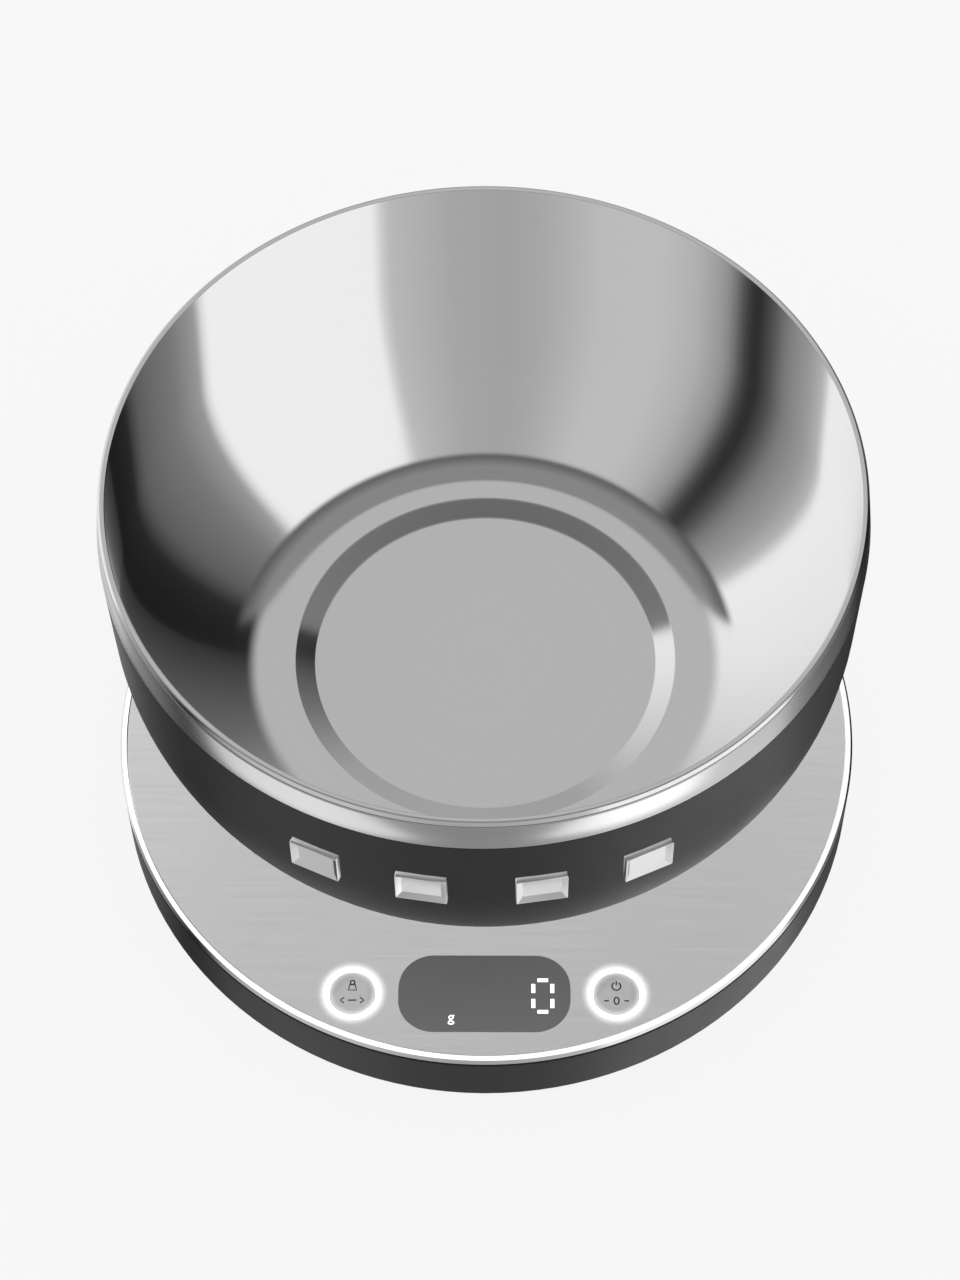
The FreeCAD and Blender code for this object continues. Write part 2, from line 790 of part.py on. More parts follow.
def overload_stops():
    """Four set screws under the carrier that take the load before the beam is strained too far."""
    top = d.carrier_bottom - d.press_travel - d.fit_gap
    foot = d.floor_top + d.stop_pillar_height - d.stop_depth + d.fit_gap
    made = []
    for x, y in stop_spots():
        shank = rod(d.stop_radius, top - foot, x, y, foot)
        cap = rod(d.stop_cap_radius, d.stop_cap_height, x, y, top - d.stop_cap_height)
        made.append(fuse(shank, cap))
    return node(together(*made), "overload_stops")


# Power


def battery_rows():
    """For each battery, its y and the way it points: +1 with its nub towards +X."""
    return [(d.well_offset + d.battery_pitch * (i - 1), 1 if i % 2 == 0 else -1) for i in range(3)]


def batteries():
    """Three small cells side by side, each turned round from the last."""
    made = []
    for y, way in battery_rows():
        end = (d.well_length / 2 - d.contact_thickness - d.spring_length) * -way
        turn = ALONG_X if way > 0 else Rotation(Vector(0, 1, 0), -90)
        case = rod(d.battery_radius, d.battery_body, end, y, d.battery_level, turn)
        tip = end + d.battery_body * way
        nub = rod(d.battery_nub_radius, d.battery_nub, tip, y, d.battery_level, turn)
        made.append(fuse(case, nub))
    return node(together(*made), "batteries")


def battery_springs():
    """A bowed leaf spring on the contact plate behind each battery's flat end."""
    made = []
    radius = d.spring_length - d.battery_rest_gap
    inner = radius - d.spring_thickness
    for y, way in battery_rows():
        wall = (d.well_length / 2 - d.contact_thickness) * -way
        low = d.battery_level - d.spring_width / 2
        bow = rod(radius, d.spring_width, wall, y, low, Rotation(PLATE_AXIS, -90 * way))
        bow.Angle = 180
        core = rod(inner, d.spring_width + d.fit_gap * 2, wall, y, low - d.fit_gap)
        made.append(cut(bow, core))
    return node(together(*made), "battery_springs")


def contact_plates():
    """A sprung steel plate on the well's wall at each end of each battery."""
    made = []
    x = (d.well_length - d.contact_thickness) / 2
    z = d.battery_level - d.contact_side / 2
    for y, _ in battery_rows():
        for side in (-1, 1):
            made.append(block(d.contact_thickness, d.contact_side, d.contact_side, x * side, y, z))
    return node(together(*made), "contact_plates")


def battery_door():
    """The door under the batteries, which swings down on two pins along its back edge."""
    body = doc.addObject("PartDesign::Body", "door")
    width = d.hinge_y - d.door_front
    middle = (d.hinge_y + d.door_front) / 2
    pad(body, rectangle(body, d.ground_gap, 0, middle, d.door_length, width), d.door_thickness)
    for i in range(3):
        y = d.door_front + d.grip_width * (3 + 2 * i)
        groove = rectangle(body, d.ground_gap, 0, y, d.grip_length, d.grip_width)
        pocket(body, groove, d.grip_depth, up=True)
    knuckle = rod(d.hinge_radius, d.door_length, -(d.door_length / 2), d.hinge_y, d.hinge_z, ALONG_X)
    pins = d.door_length + d.hinge_pin_length * 2
    pin = rod(d.hinge_pin_radius, pins, -(pins / 2), d.hinge_y, d.hinge_z, ALONG_X)
    return node(fuse(body, knuckle, pin), "battery_door")


# Control board in the base


def main_board():
    """The board with the converter for the load cell, on four posts beside the batteries."""
    board = block(
        d.main_board_length, d.main_board_width, d.board_thickness, d.main_board_x, d.well_offset, d.main_board_bottom
    )
    return node(board, "main_board")


def sockets():
    """Where the main board's three sockets stand: for the cell's lead, the batteries' lead and the ribbon."""
    edge_x = d.main_board_x - d.main_board_length / 2 + d.socket_width / 2 + 1
    edge_y = d.well_offset - d.main_board_width / 2 + d.socket_width / 2 + 1
    return {
        "cell": (edge_x, d.well_offset - d.battery_pitch / 2),
        "battery": (edge_x, d.well_offset + d.battery_pitch),
        "ribbon": (d.ribbon_x + 1, edge_y),
    }


def board_parts():
    """The chips and sockets soldered to the main board."""
    spots = sockets()
    length, width, height = d.socket_length, d.socket_width, d.socket_height
    chip, small = d.chip_side, d.chip_side / 2
    made = [
        block(width, length, height, *spots["cell"], d.main_board_top),
        block(width, length, height, *spots["battery"], d.main_board_top),
        block(length, width, height, *spots["ribbon"], d.main_board_top),
        block(chip, chip, d.chip_height, d.main_board_x + 2, d.well_offset, d.main_board_top),
        block(small, small, d.chip_height, d.main_board_x + chip + 2, d.well_offset + chip, d.main_board_top),
    ]
    return node(together(*made), "board_parts")


def cell_lead():
    """The load cell's lead, from the beam's side round the battery well to its socket."""
    end_x, end_y = sockets()["cell"]
    bend = d.lead_bend
    start_x = d.flexure_hole_offset * 2
    start_y = d.cell_side / 2 + d.fit_gap
    turn_y = start_y + bend + 1
    turn_x = d.well_length / 2 + d.well_wall + d.lead_channel
    bend_out = turn_x + d.lead_bend / 4
    path = [
        (start_x, start_y),
        (start_x, turn_y - bend, -bend),
        (start_x + bend, turn_y),
        (turn_x - bend, turn_y, bend),
        (turn_x, turn_y + bend),
        (turn_x, end_y - d.lead_bend / 4, -(d.lead_bend / 4)),
        (bend_out, end_y),
        (end_x - d.socket_width / 2 - d.fit_gap, end_y),
    ]
    level = d.main_board_top + d.socket_height / 2
    return node(lead("lead", path, level, d.lead_radius), "cell_lead")


def battery_lead():
    """The pair of wires from the battery well's wall to their socket."""
    x, y = sockets()["battery"]
    level = d.main_board_top + d.socket_height / 2
    start = d.well_length / 2 + d.well_wall + d.fit_gap
    end = x - d.socket_width / 2 - d.fit_gap
    wires = [
        rod(d.lead_radius, end - start, start, y + d.lead_radius * 1.5 * side, level, ALONG_X) for side in (-1, 1)
    ]
    return node(together(*wires), "battery_lead")


# The platform


def carrier():
    """The stiff disc that the beam carries, with a lip inside the skirt and openings for the display and keys."""
    body = turned(
        "carrier",
        [
            (0, d.carrier_bottom),
            (d.lip_inner, d.carrier_bottom),
            (d.lip_inner, d.carrier_bottom - d.carrier_lip_height),
            (d.lip_outer, d.carrier_bottom - d.carrier_lip_height),
            (d.lip_outer, d.carrier_bottom),
            (d.carrier_radius, d.carrier_bottom),
            (d.carrier_radius, d.trim_bottom - d.fit_gap),
            (d.carrier_shoulder, d.trim_bottom - d.fit_gap),
            (d.carrier_shoulder, d.carrier_top),
            (0, d.carrier_top),
        ],
    )
    depth = d.carrier_bottom - d.switch_seat
    pad(body, circles(body, d.switch_seat, d.boss_radius, boss_spots()), depth)
    window = rectangle(body, d.carrier_top, 0, d.row, d.led_length + 1, d.led_width + 1)
    pocket(body, window, d.carrier_thickness)
    length, width, corner = lens_flange()
    seat = pill(body, d.carrier_top, d.row, length + d.fit_gap * 2, width + d.fit_gap * 2, corner + d.fit_gap)
    pocket(body, seat, d.lens_flange_thickness)
    keys = [(d.key_spacing * side, d.row) for side in (-1, 1)]
    pocket(body, circles(body, d.carrier_top, d.ring_outer + d.fit_gap * 2, keys), d.carrier_thickness)
    seat = circles(body, d.carrier_top, d.ring_outer + d.ring_flange + d.fit_gap * 2, keys)
    pocket(body, seat, d.ring_flange_thickness)
    hole = circles(body, d.carrier_top, d.cell_screw_radius + d.screw_gap, cell_holes(1))
    pocket(body, hole, d.carrier_thickness)
    head = circles(body, d.carrier_top, d.cell_screw_head_radius + d.fit_gap * 2, cell_holes(1))
    pocket(body, head, d.cell_screw_head + d.fit_gap * 3)
    bite = circles(body, d.switch_seat, d.board_screw_radius + d.screw_gap, boss_spots())
    pocket(body, bite, d.board_screw_bite, up=True)
    return node(body, "carrier")


def boss_spots():
    """The four bosses that the display board hangs from, two behind the display and two beside it."""
    back = d.row + d.led_width / 2 + d.boss_radius * 2
    side = d.led_length / 2 + d.boss_radius * 1.5
    spots = []
    for way in (-1, 1):
        spots.append((d.led_length / 2 * way, back))
        spots.append((side * way, d.row - d.boss_radius * 2.5))
    return spots


def lens_flange():
    """The length, width and corner radius of the lens's hidden flange."""
    grow = d.lens_flange * 2
    return d.display_length + grow, d.display_width + grow, d.display_corner + d.lens_flange


def top_plate():
    """The brushed steel plate, with an opening for the display and one for each key."""
    body = turned(
        "plate",
        [(0, d.carrier_top), (d.plate_radius, d.carrier_top), (d.plate_radius, d.plate_top), (0, d.plate_top)],
    )
    gap = d.fit_gap
    window = pill(
        body, d.plate_top, d.row, d.display_length + gap * 2, d.display_width + gap * 2, d.display_corner + gap
    )
    pocket(body, window, d.plate_thickness)
    keys = [(d.key_spacing * side, d.row) for side in (-1, 1)]
    pocket(body, circles(body, d.plate_top, d.ring_outer + gap, keys), d.plate_thickness)
    return node(body, "top_plate")


def rim_trim():
    """The polished ring round the plate, with a thin flange trapped under it."""
    body = turned(
        "trim",
        [
            (d.trim_flange_inner, d.trim_bottom),
            (d.base_radius, d.trim_bottom),
            (d.base_radius, d.trim_top),
            (d.trim_inner, d.trim_top),
            (d.trim_inner, d.trim_bottom + d.trim_flange_thickness),
            (d.trim_flange_inner, d.trim_bottom + d.trim_flange_thickness),
        ],
    )
    rounded(body, "Fillet", d.trim_round, [(d.base_radius, d.trim_top)])
    rounded(body, "Fillet", d.trim_round / 4, [(d.trim_inner, d.trim_top), (d.base_radius, d.trim_bottom)])
    return node(body, "rim_trim")


def display_lens():
    """The tinted window, flush with the plate, with a flange under the plate's edge."""
    body = doc.addObject("PartDesign::Body", "lens")
    length, width, corner = lens_flange()
    flange = pill(body, d.lens_flange_bottom, d.row, length, width, corner)
    pad(body, flange, d.lens_flange_thickness - d.fit_gap / 2)
    face = pill(body, d.lens_flange_bottom, d.row, d.display_length, d.display_width, d.display_corner)
    pad(body, face, d.plate_top - d.lens_flange_bottom)
    return node(body, "display_lens")


def led_module():
    """The block of light segments under the lens, soldered to the display board."""
    return node(block(d.led_length, d.led_width, d.led_height, 0, d.row, d.switch_seat), "led_module")


def display_board():
    """The board under the display and keys, trimmed to the carrier's round lip."""
    width = d.board_front + d.board_back
    y = d.row + (d.board_back - d.board_front) / 2
    sheet_part = block(d.board_side * 2, width, d.board_thickness, 0, y, d.board_bottom)
    disc = rod(d.lip_inner - d.board_edge_gap, d.board_thickness, 0, 0, d.board_bottom)
    common = doc.addObject("Part::MultiCommon", "common")
    common.Shapes = [sheet_part, disc]
    length = d.board_thickness + d.fit_gap * 2
    radius = d.board_screw_radius + d.screw_gap
    holes = [rod(radius, length, x, y, d.board_bottom - d.fit_gap) for x, y in boss_spots()]
    return node(cut(common, *holes), "display_board")


def board_screws():
    """Four screws up through the display board into the carrier's bosses."""
    shank = d.board_thickness + d.board_screw_bite - d.fit_gap
    made = [
        screw(x, y, d.board_bottom, d.board_screw_radius, shank, d.board_screw_head_radius, d.board_screw_head)
        for x, y in boss_spots()
    ]
    return node(together(*made), "board_screws")


def display_ribbon():
    """The flat lead from a plug under the display board back to the main board's socket."""
    start = d.row + d.board_back - d.socket_width
    end = sockets()["ribbon"][1] - d.socket_width / 2 - d.fit_gap * 3
    plug_foot = d.ribbon_level - d.socket_height / 2
    plug_length = d.board_side * 2 - d.ribbon_x * 2
    plug = block(plug_length, d.socket_width, d.board_bottom - plug_foot, d.ribbon_x, start, plug_foot)
    strip = doc.addObject("Part::Box", "strip")
    bind(strip, Length=d.ribbon_width, Height=d.ribbon_thickness, Width=end - start)
    place(strip, d.ribbon_x - d.ribbon_width / 2, start, d.ribbon_level)
    return node(fuse(plug, strip), "display_ribbon")


# Keys


def light_rings():
    """The two clear rings that carry light up round the keys, trapped by a flange under the plate."""
    made = []
    for side in (-1, 1):
        flange = d.ring_outer + d.ring_flange
        body = turned(
            "ring",
            [
                (d.ring_inner, d.ring_bottom),
                (d.ring_outer, d.ring_bottom),
                (d.ring_outer, d.ring_flange_bottom),
                (flange, d.ring_flange_bottom),
                (flange, d.carrier_top - d.fit_gap / 2),
                (d.ring_outer, d.carrier_top - d.fit_gap / 2),
                (d.ring_outer, d.plate_top),
                (d.ring_inner, d.plate_top),
            ],
        )
        made.append(place(body, d.key_spacing * side, d.row))
    return node(together(*made), "light_rings")


def key(name, side):
    """A key cap with a flange that keeps it under its ring, and the switch plunger that it presses."""
    top = d.plate_top + d.key_proud
    roof = top - d.key_top
    inner = d.key_radius - d.key_wall
    flange_top = d.ring_bottom - d.fit_gap * 2
    flange_bottom = flange_top - d.key_flange_thickness
    stem = d.switch_top + d.plunger_height
    body = turned(
        f"{name}_cap",
        [
            (0, stem),
            (d.key_stem_radius, stem),
            (d.key_stem_radius, roof),
            (inner, roof),
            (inner, flange_bottom),
            (d.key_radius + d.key_flange, flange_bottom),
            (d.key_radius + d.key_flange, flange_top),
            (d.key_radius, flange_top),
            (d.key_radius, top),
            (0, top),
        ],
    )
    rounded(body, "Fillet", d.key_proud, [(d.key_radius, top)])
    node(place(body, d.key_spacing * side, d.row), f"{name}_key_cap")
    foot = d.switch_top - d.plunger_depth
    plunger = rod(d.plunger_radius, stem - foot, d.key_spacing * side, d.row, foot)
    node(plunger, f"{name}_key_plunger")


def switch_bodies():
    """The cases of the two push switches, each open above for its plunger."""
    made = []
    depth = d.plunger_depth + d.key_travel + d.fit_gap
    for side in (-1, 1):
        x = d.key_spacing * side
        case = block(d.switch_side, d.switch_side, d.switch_height, x, d.row, d.switch_seat)
        bore = rod(d.plunger_radius + d.screw_gap, depth + d.fit_gap, x, d.row, d.switch_top - depth)
        made.append(cut(case, bore))
    return node(together(*made), "switch_bodies")


def ring_leds():
    """The small lamps on the display board under each light ring."""
    made = []
    middle = d.ring_inner + d.ring_wall / 2
    for side in (-1, 1):
        for x, y in around(RING_LEDS, middle, 30):
            chip = block(
                d.led_chip_length,
                d.led_chip_width,
                d.led_chip_height,
                x + d.key_spacing * side,
                y + d.row,
                d.switch_seat,
            )
            made.append(chip)
    return node(together(*made), "ring_leds")


# The bowl


def bowl_shell():
    """The drawn steel bowl: a rolled lip, a straight wall, a curved corner and a floor with a shallow round recess."""
    outer_curve = d.curve_radius - d.jacket_thickness - d.bond_gap
    inner_curve = outer_curve - d.shell_thickness
    recess_edge = d.recess_radius - d.recess_slope
    lip_radius = d.shell_inner + d.lip_width
    inner_corner = on_curve(inner_curve, d.bowl_floor)
    outer_corner = on_curve(outer_curve, d.shell_floor)
    lip_under = d.bowl_top - d.lip_height
    body = turned(
        "shell",
        [
            (0, d.shell_floor - d.recess_depth),
            (recess_edge, d.shell_floor - d.recess_depth),
            (d.recess_radius, d.shell_floor),
            (outer_corner, d.shell_floor, outer_curve),
            (d.shell_outer, d.curve_level),
            (d.shell_outer, lip_under),
            (lip_radius, lip_under),
            (lip_radius, d.bowl_top),
            (d.shell_inner, d.bowl_top),
            (d.shell_inner, d.curve_level, -inner_curve),
            (inner_corner, d.bowl_floor),
            (d.recess_radius, d.bowl_floor),
            (recess_edge, d.bowl_floor - d.recess_depth),
            (0, d.bowl_floor - d.recess_depth),
        ],
    )
    rounded(body, "Fillet", d.lip_round, [(lip_radius, d.bowl_top), (lip_radius, lip_under)])
    rounded(body, "Fillet", d.lip_round / 2, [(d.shell_inner, d.bowl_top)])
    rounded(body, "Fillet", d.floor_fillet, [(inner_corner, d.bowl_floor)])
    rounded(body, "Fillet", d.floor_fillet + d.shell_thickness, [(outer_corner, d.shell_floor)])
    steps = [(d.recess_radius, d.bowl_floor), (recess_edge, d.bowl_floor - d.recess_depth)]
    rounded(body, "Fillet", d.recess_fillet, steps)
    return node(body, "bowl_shell")


def rim_band():
    """The steel band under the lip, which covers the jacket's top edge."""
    inner = d.shell_outer + d.bond_gap
    body = turned(
        "band",
        [
            (inner, d.band_bottom),
            (d.band_radius, d.band_bottom),
            (d.band_radius - d.band_lean, d.band_top),
            (inner, d.band_top),
        ],
    )
    edges = [(d.band_radius, d.band_bottom), (d.band_radius - d.band_lean, d.band_top)]
    rounded(body, "Fillet", d.band_fillet, edges)
    return node(body, "rim_band")


def badge_azimuths():
    """The bars' directions, in degrees from +X: two on each side of the front."""
    outer, inner = d.badge_outer_azimuth.value, d.badge_inner_azimuth.value
    return [-90 + turn for turn in (-outer, -inner, inner, outer)]


def badge_pins(radius, start, length):
    """The pin places behind every bar, as rods that point away from Z."""
    made = []
    for azimuth in badge_azimuths():
        turn = math.radians(azimuth)
        for side in (-1, 1):
            across = d.badge_pin_spread * side
            x = start * round(math.cos(turn), 9) - across * round(math.sin(turn), 9)
            y = start * round(math.sin(turn), 9) + across * round(math.cos(turn), 9)
            made.append(rod(radius, length, x, y, d.badge_z, Rotation(PLATE_AXIS, azimuth) * ALONG_X))
    return made


def bowl_jacket():
    """The black outer body of the bowl, open in the middle of its floor, with holes for the bars' pins."""
    inner_curve = d.curve_radius - d.jacket_thickness
    hole = d.recess_radius + d.jacket_hole_gap
    top = d.band_bottom - d.fit_gap
    body = turned(
        "jacket",
        [
            (hole, d.jacket_floor),
            (on_curve(d.curve_radius, d.jacket_floor), d.jacket_floor, d.curve_radius),
            (d.bowl_radius, d.curve_level),
            (d.band_radius - d.fit_gap / 2, top),
            (d.jacket_inner, top),
            (d.jacket_inner, d.curve_level, -inner_curve),
            (on_curve(inner_curve, d.jacket_floor_top), d.jacket_floor_top),
            (hole, d.jacket_floor_top),
        ],
    )
    drill = badge_pins(d.badge_pin_radius + d.screw_gap, d.jacket_inner - 2, d.jacket_thickness + 4)
    return node(cut(body, *drill), "bowl_jacket")


def badge_bars():
    """Four plain polished bars across the bowl's front, each on two pins."""
    back = d.bowl_radius + d.badge_back_gap + d.fit_gap
    front = back + d.badge_depth
    half = d.badge_height / 2
    pins = badge_pins(d.badge_pin_radius, d.jacket_inner + d.bond_gap, d.jacket_thickness + d.badge_depth / 2)
    made = []
    for i, azimuth in enumerate(badge_azimuths()):
        outline = [
            (back, d.badge_z - half),
            (front, d.badge_z - half),
            (front, d.badge_z + half),
            (back, d.badge_z + half),
        ]
        body = turned("bar", outline, d.badge_angle)
        doc.recompute()
        corners = [
            f"Edge{n}"
            for n, edge in enumerate(body.Tip.Shape.Edges, 1)
            if isinstance(edge.Curve, Part.Line) and abs(edge.tangentAt(edge.FirstParameter).z) < 1e-6
        ]
        before = body.Tip
        fillet = body.newObject("PartDesign::Fillet", "fillet")
        fillet.Base = (before, corners)
        bind(fillet, Radius=half * 0.96)
        body.Placement = Placement(Vector(), Rotation(PLATE_AXIS, azimuth))
        made.append(fuse(body, *pins[2 * i : 2 * i + 2]))
    return node(together(*made), "badge_bars")


def bowl_pedestal():
    """The black foot of the bowl, waisted outside and hollow inside, screwed on through its top."""
    top = d.pedestal_top_level
    under = top - d.pedestal_top
    inner = d.pedestal_bottom_radius - d.pedestal_wall
    groove_inner = d.pad_radius - d.pad_width / 2 - d.fit_gap / 2
    groove_outer = d.pad_radius + d.pad_width / 2 + d.fit_gap / 2
    groove_top = d.pedestal_bottom + d.pad_depth
    body = turned(
        "pedestal",
        [
            (0, under),
            (inner + d.pedestal_wall / 2, under),
            (inner, (under + d.pedestal_bottom) / 2),
            (inner, d.pedestal_bottom),
            (groove_inner, d.pedestal_bottom),
            (groove_inner, groove_top),
            (groove_outer, groove_top),
            (groove_outer, d.pedestal_bottom),
            (d.pedestal_bottom_radius, d.pedestal_bottom, -d.pedestal_waist_radius),
            (d.pedestal_top_radius, top),
            (0, top),
        ],
    )
    spots = around(STUDS, d.stud_circle, 90)
    pocket(body, circles(body, top, d.stud_radius + d.fit_gap, spots), d.pedestal_top)
    return node(body, "bowl_pedestal")


def pedestal_pad():
    """The soft ring in the pedestal's groove, which keeps the steel plate from being scratched."""
    inner = d.pad_radius - d.pad_width / 2
    outer = d.pad_radius + d.pad_width / 2
    top = d.pedestal_bottom + d.pad_depth
    outline = [(inner, d.plate_top), (outer, d.plate_top), (outer, top), (inner, top)]
    return node(turned("pad_ring", outline), "pedestal_pad")


def bowl_studs():
    """Three threaded studs welded under the bowl's floor."""
    bottom = d.pedestal_top_level - d.pedestal_top
    top = d.shell_floor - d.recess_depth
    depth = (top - bottom) * 0.8
    made = []
    for x, y in around(STUDS, d.stud_circle, 90):
        stud = rod(d.stud_radius, top - bottom, x, y, bottom)
        bore = rod(d.stud_bore_radius, depth + d.fit_gap, x, y, bottom - d.fit_gap)
        made.append(cut(stud, bore))
    return node(together(*made), "bowl_studs")


def pedestal_screws():
    """Three screws up inside the pedestal into the studs."""
    bottom = d.pedestal_top_level - d.pedestal_top
    shank = (d.shell_floor - d.recess_depth - bottom) * 0.75
    radius = d.stud_bore_radius - d.screw_gap
    made = [
        screw(x, y, bottom, radius, shank, d.pedestal_screw_head_radius, d.pedestal_screw_head)
        for x, y in around(STUDS, d.stud_circle, 90)
    ]
    return node(together(*made), "pedestal_screws")


def build():
    skirt_ring()
    bottom_tray()
    tray_screws()
    rubber_feet()
    load_cell()
    gauge_covers()
    cell_pads()
    cell_screws()
    overload_stops()
    batteries()
    battery_springs()
    contact_plates()
    battery_door()
    main_board()
    board_parts()
    cell_lead()
    battery_lead()
    carrier()
    top_plate()
    rim_trim()
    display_lens()
    led_module()
    display_board()
    board_screws()
    display_ribbon()
    light_rings()
    key("unit", -1)
    key("tare", 1)
    switch_bodies()
    ring_leds()
    bowl_shell()
    rim_band()
    bowl_jacket()
    badge_bars()
    bowl_pedestal()
    pedestal_pad()
    bowl_studs()
    pedestal_screws()


def write_parts():
    """Checks every object and sub-part, then writes each sub-part's solids."""
    doc.recompute()
    bad = [f"{o.Name} {o.State}" for o in doc.Objects if {"Invalid", "Error"} & set(o.State)]
    for thing in nodes:
        shape = thing.Shape
        if shape.isNull() or not shape.isValid() or not shape.Solids:
            bad.append(f"{thing.Label} has no valid solid")
    if bad:
        raise ValueError("; ".join(bad))
    os.makedirs("parts", exist_ok=True)
    for thing in nodes:
        thing.Shape.exportStep(f"parts/{thing.Label}.step")
        box = thing.Shape.BoundBox
        print(
            f"{thing.Label}: {len(thing.Shape.Solids)} solids, volume {thing.Shape.Volume:.0f},"
            f" z {box.ZMin:.2f} to {box.ZMax:.2f}"
        )


build()
write_parts()
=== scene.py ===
import json
import math

import bmesh
import bpy
from mathutils import Matrix, Vector

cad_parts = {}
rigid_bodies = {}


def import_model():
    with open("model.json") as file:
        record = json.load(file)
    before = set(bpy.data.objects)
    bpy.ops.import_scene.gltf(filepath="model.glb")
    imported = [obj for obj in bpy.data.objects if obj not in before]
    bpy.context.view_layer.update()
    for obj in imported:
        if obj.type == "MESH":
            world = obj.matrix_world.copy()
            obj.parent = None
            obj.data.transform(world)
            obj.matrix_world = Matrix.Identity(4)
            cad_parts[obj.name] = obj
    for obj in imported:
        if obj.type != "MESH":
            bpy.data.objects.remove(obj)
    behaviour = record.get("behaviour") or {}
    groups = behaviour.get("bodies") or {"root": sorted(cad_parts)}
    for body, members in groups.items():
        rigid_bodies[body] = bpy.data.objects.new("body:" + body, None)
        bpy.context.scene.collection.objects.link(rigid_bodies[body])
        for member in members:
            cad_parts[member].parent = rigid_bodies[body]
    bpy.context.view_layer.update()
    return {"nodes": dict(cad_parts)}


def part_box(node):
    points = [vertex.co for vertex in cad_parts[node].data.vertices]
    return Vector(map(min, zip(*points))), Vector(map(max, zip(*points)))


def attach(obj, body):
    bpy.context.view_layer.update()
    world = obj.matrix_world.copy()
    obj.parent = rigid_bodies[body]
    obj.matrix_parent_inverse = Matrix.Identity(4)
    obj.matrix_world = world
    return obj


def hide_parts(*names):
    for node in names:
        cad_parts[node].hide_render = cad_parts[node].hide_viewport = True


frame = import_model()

nodes = frame["nodes"]
scene = bpy.context.scene
mm = 0.001
print("frame loaded:", len(nodes), "CAD nodes")


# shader tree helpers: a value is a socket, a node (its first output) or a plain number or colour

def emptyTree(owner):
    owner.use_nodes = True
    owner.node_tree.nodes.clear()
    return owner.node_tree


def plug(tree, value, socket):
    if isinstance(value, bpy.types.NodeSocket):
        tree.links.new(value, socket)
    elif isinstance(value, bpy.types.Node):
        tree.links.new(value.outputs[0], socket)
    elif value is not None:
        socket.default_value = value


def calc(tree, operation, a, b=None):
    node = tree.nodes.new("ShaderNodeMath")
    node.operation = operation
    for value, socket in zip((a, b), node.inputs):
        plug(tree, value, socket)
    return node.outputs[0]


def vector(tree, operation, a, b=None):
    node = tree.nodes.new("ShaderNodeVectorMath")
    node.operation = operation
    plug(tree, a, node.inputs[0])
    if b is not None:
        plug(tree, b, node.inputs[1])
    return node.outputs["Value"] if operation in ("LENGTH", "DOT_PRODUCT") else node.outputs[0]


def remap(tree, value, low, high, toLow=0.0, toHigh=1.0, soft=False):
    node = tree.nodes.new("ShaderNodeMapRange")
    node.interpolation_type = "SMOOTHSTEP" if soft else "LINEAR"
    for socket, number in zip(node.inputs, (value, low, high, toLow, toHigh)):
        plug(tree, number, socket)
    return node.outputs[0]


def blendColor(tree, factor, a, b):
    node = tree.nodes.new("ShaderNodeMix")
    node.data_type = "RGBA"
    plug(tree, factor, node.inputs["Factor"])
    plug(tree, a, node.inputs["A"])
    plug(tree, b, node.inputs["B"])
    return node.outputs["Result"]


def grey(value, warm=0.0):
    return (value * (1 + warm), value, value * (1 - warm), 1)


def splitXyz(tree, value):
    node = tree.nodes.new("ShaderNodeSeparateXYZ")
    plug(tree, value, node.inputs[0])
    return node.outputs


def joinXyz(tree, x, y, z):
    node = tree.nodes.new("ShaderNodeCombineXYZ")
    for value, socket in zip((x, y, z), node.inputs):
        plug(tree, value, socket)
    return node.outputs[0]


def noise(tree, where, scale, detail=2.0, rough=0.5):
    node = tree.nodes.new("ShaderNodeTexNoise")
    plug(tree, where, node.inputs["Vector"])
    plug(tree, scale, node.inputs["Scale"])
    node.inputs["Detail"].default_value = detail
    node.inputs["Roughness"].default_value = rough
    return node.outputs["Fac"]


def place(tree):
    return tree.nodes.new("ShaderNodeTexCoord").outputs["Object"]


def bump(tree, height, strength, distance):
    node = tree.nodes.new("ShaderNodeBump")
    node.inputs["Strength"].default_value = strength
    node.inputs["Distance"].default_value = distance
    plug(tree, height, node.inputs["Height"])
    return node.outputs["Normal"]


def newGroup(name, inputs, outputs):
    group = bpy.data.node_groups.new(name, "ShaderNodeTree")
    for socketName, kind, value in inputs:
        socket = group.interface.new_socket(name=socketName, in_out="INPUT", socket_type=kind)
        if value is not None:
            socket.default_value = value
    for socketName in outputs:
        group.interface.new_socket(name=socketName, in_out="OUTPUT", socket_type="NodeSocketFloat")
    return group, group.nodes.new("NodeGroupInput"), group.nodes.new("NodeGroupOutput")


def useGroup(tree, group, **values):
    node = tree.nodes.new("ShaderNodeGroup")
    node.node_tree = group
    for name, value in values.items():
        plug(tree, value, node.inputs[name])
    return node.outputs


def principled(tree, **sockets):
    shader = tree.nodes.new("ShaderNodeBsdfPrincipled")
    for name, value in sockets.items():
        plug(tree, value, shader.inputs[name.replace("_", " ")])
    output = tree.nodes.new("ShaderNodeOutputMaterial")
    tree.links.new(shader.outputs[0], output.inputs["Surface"])


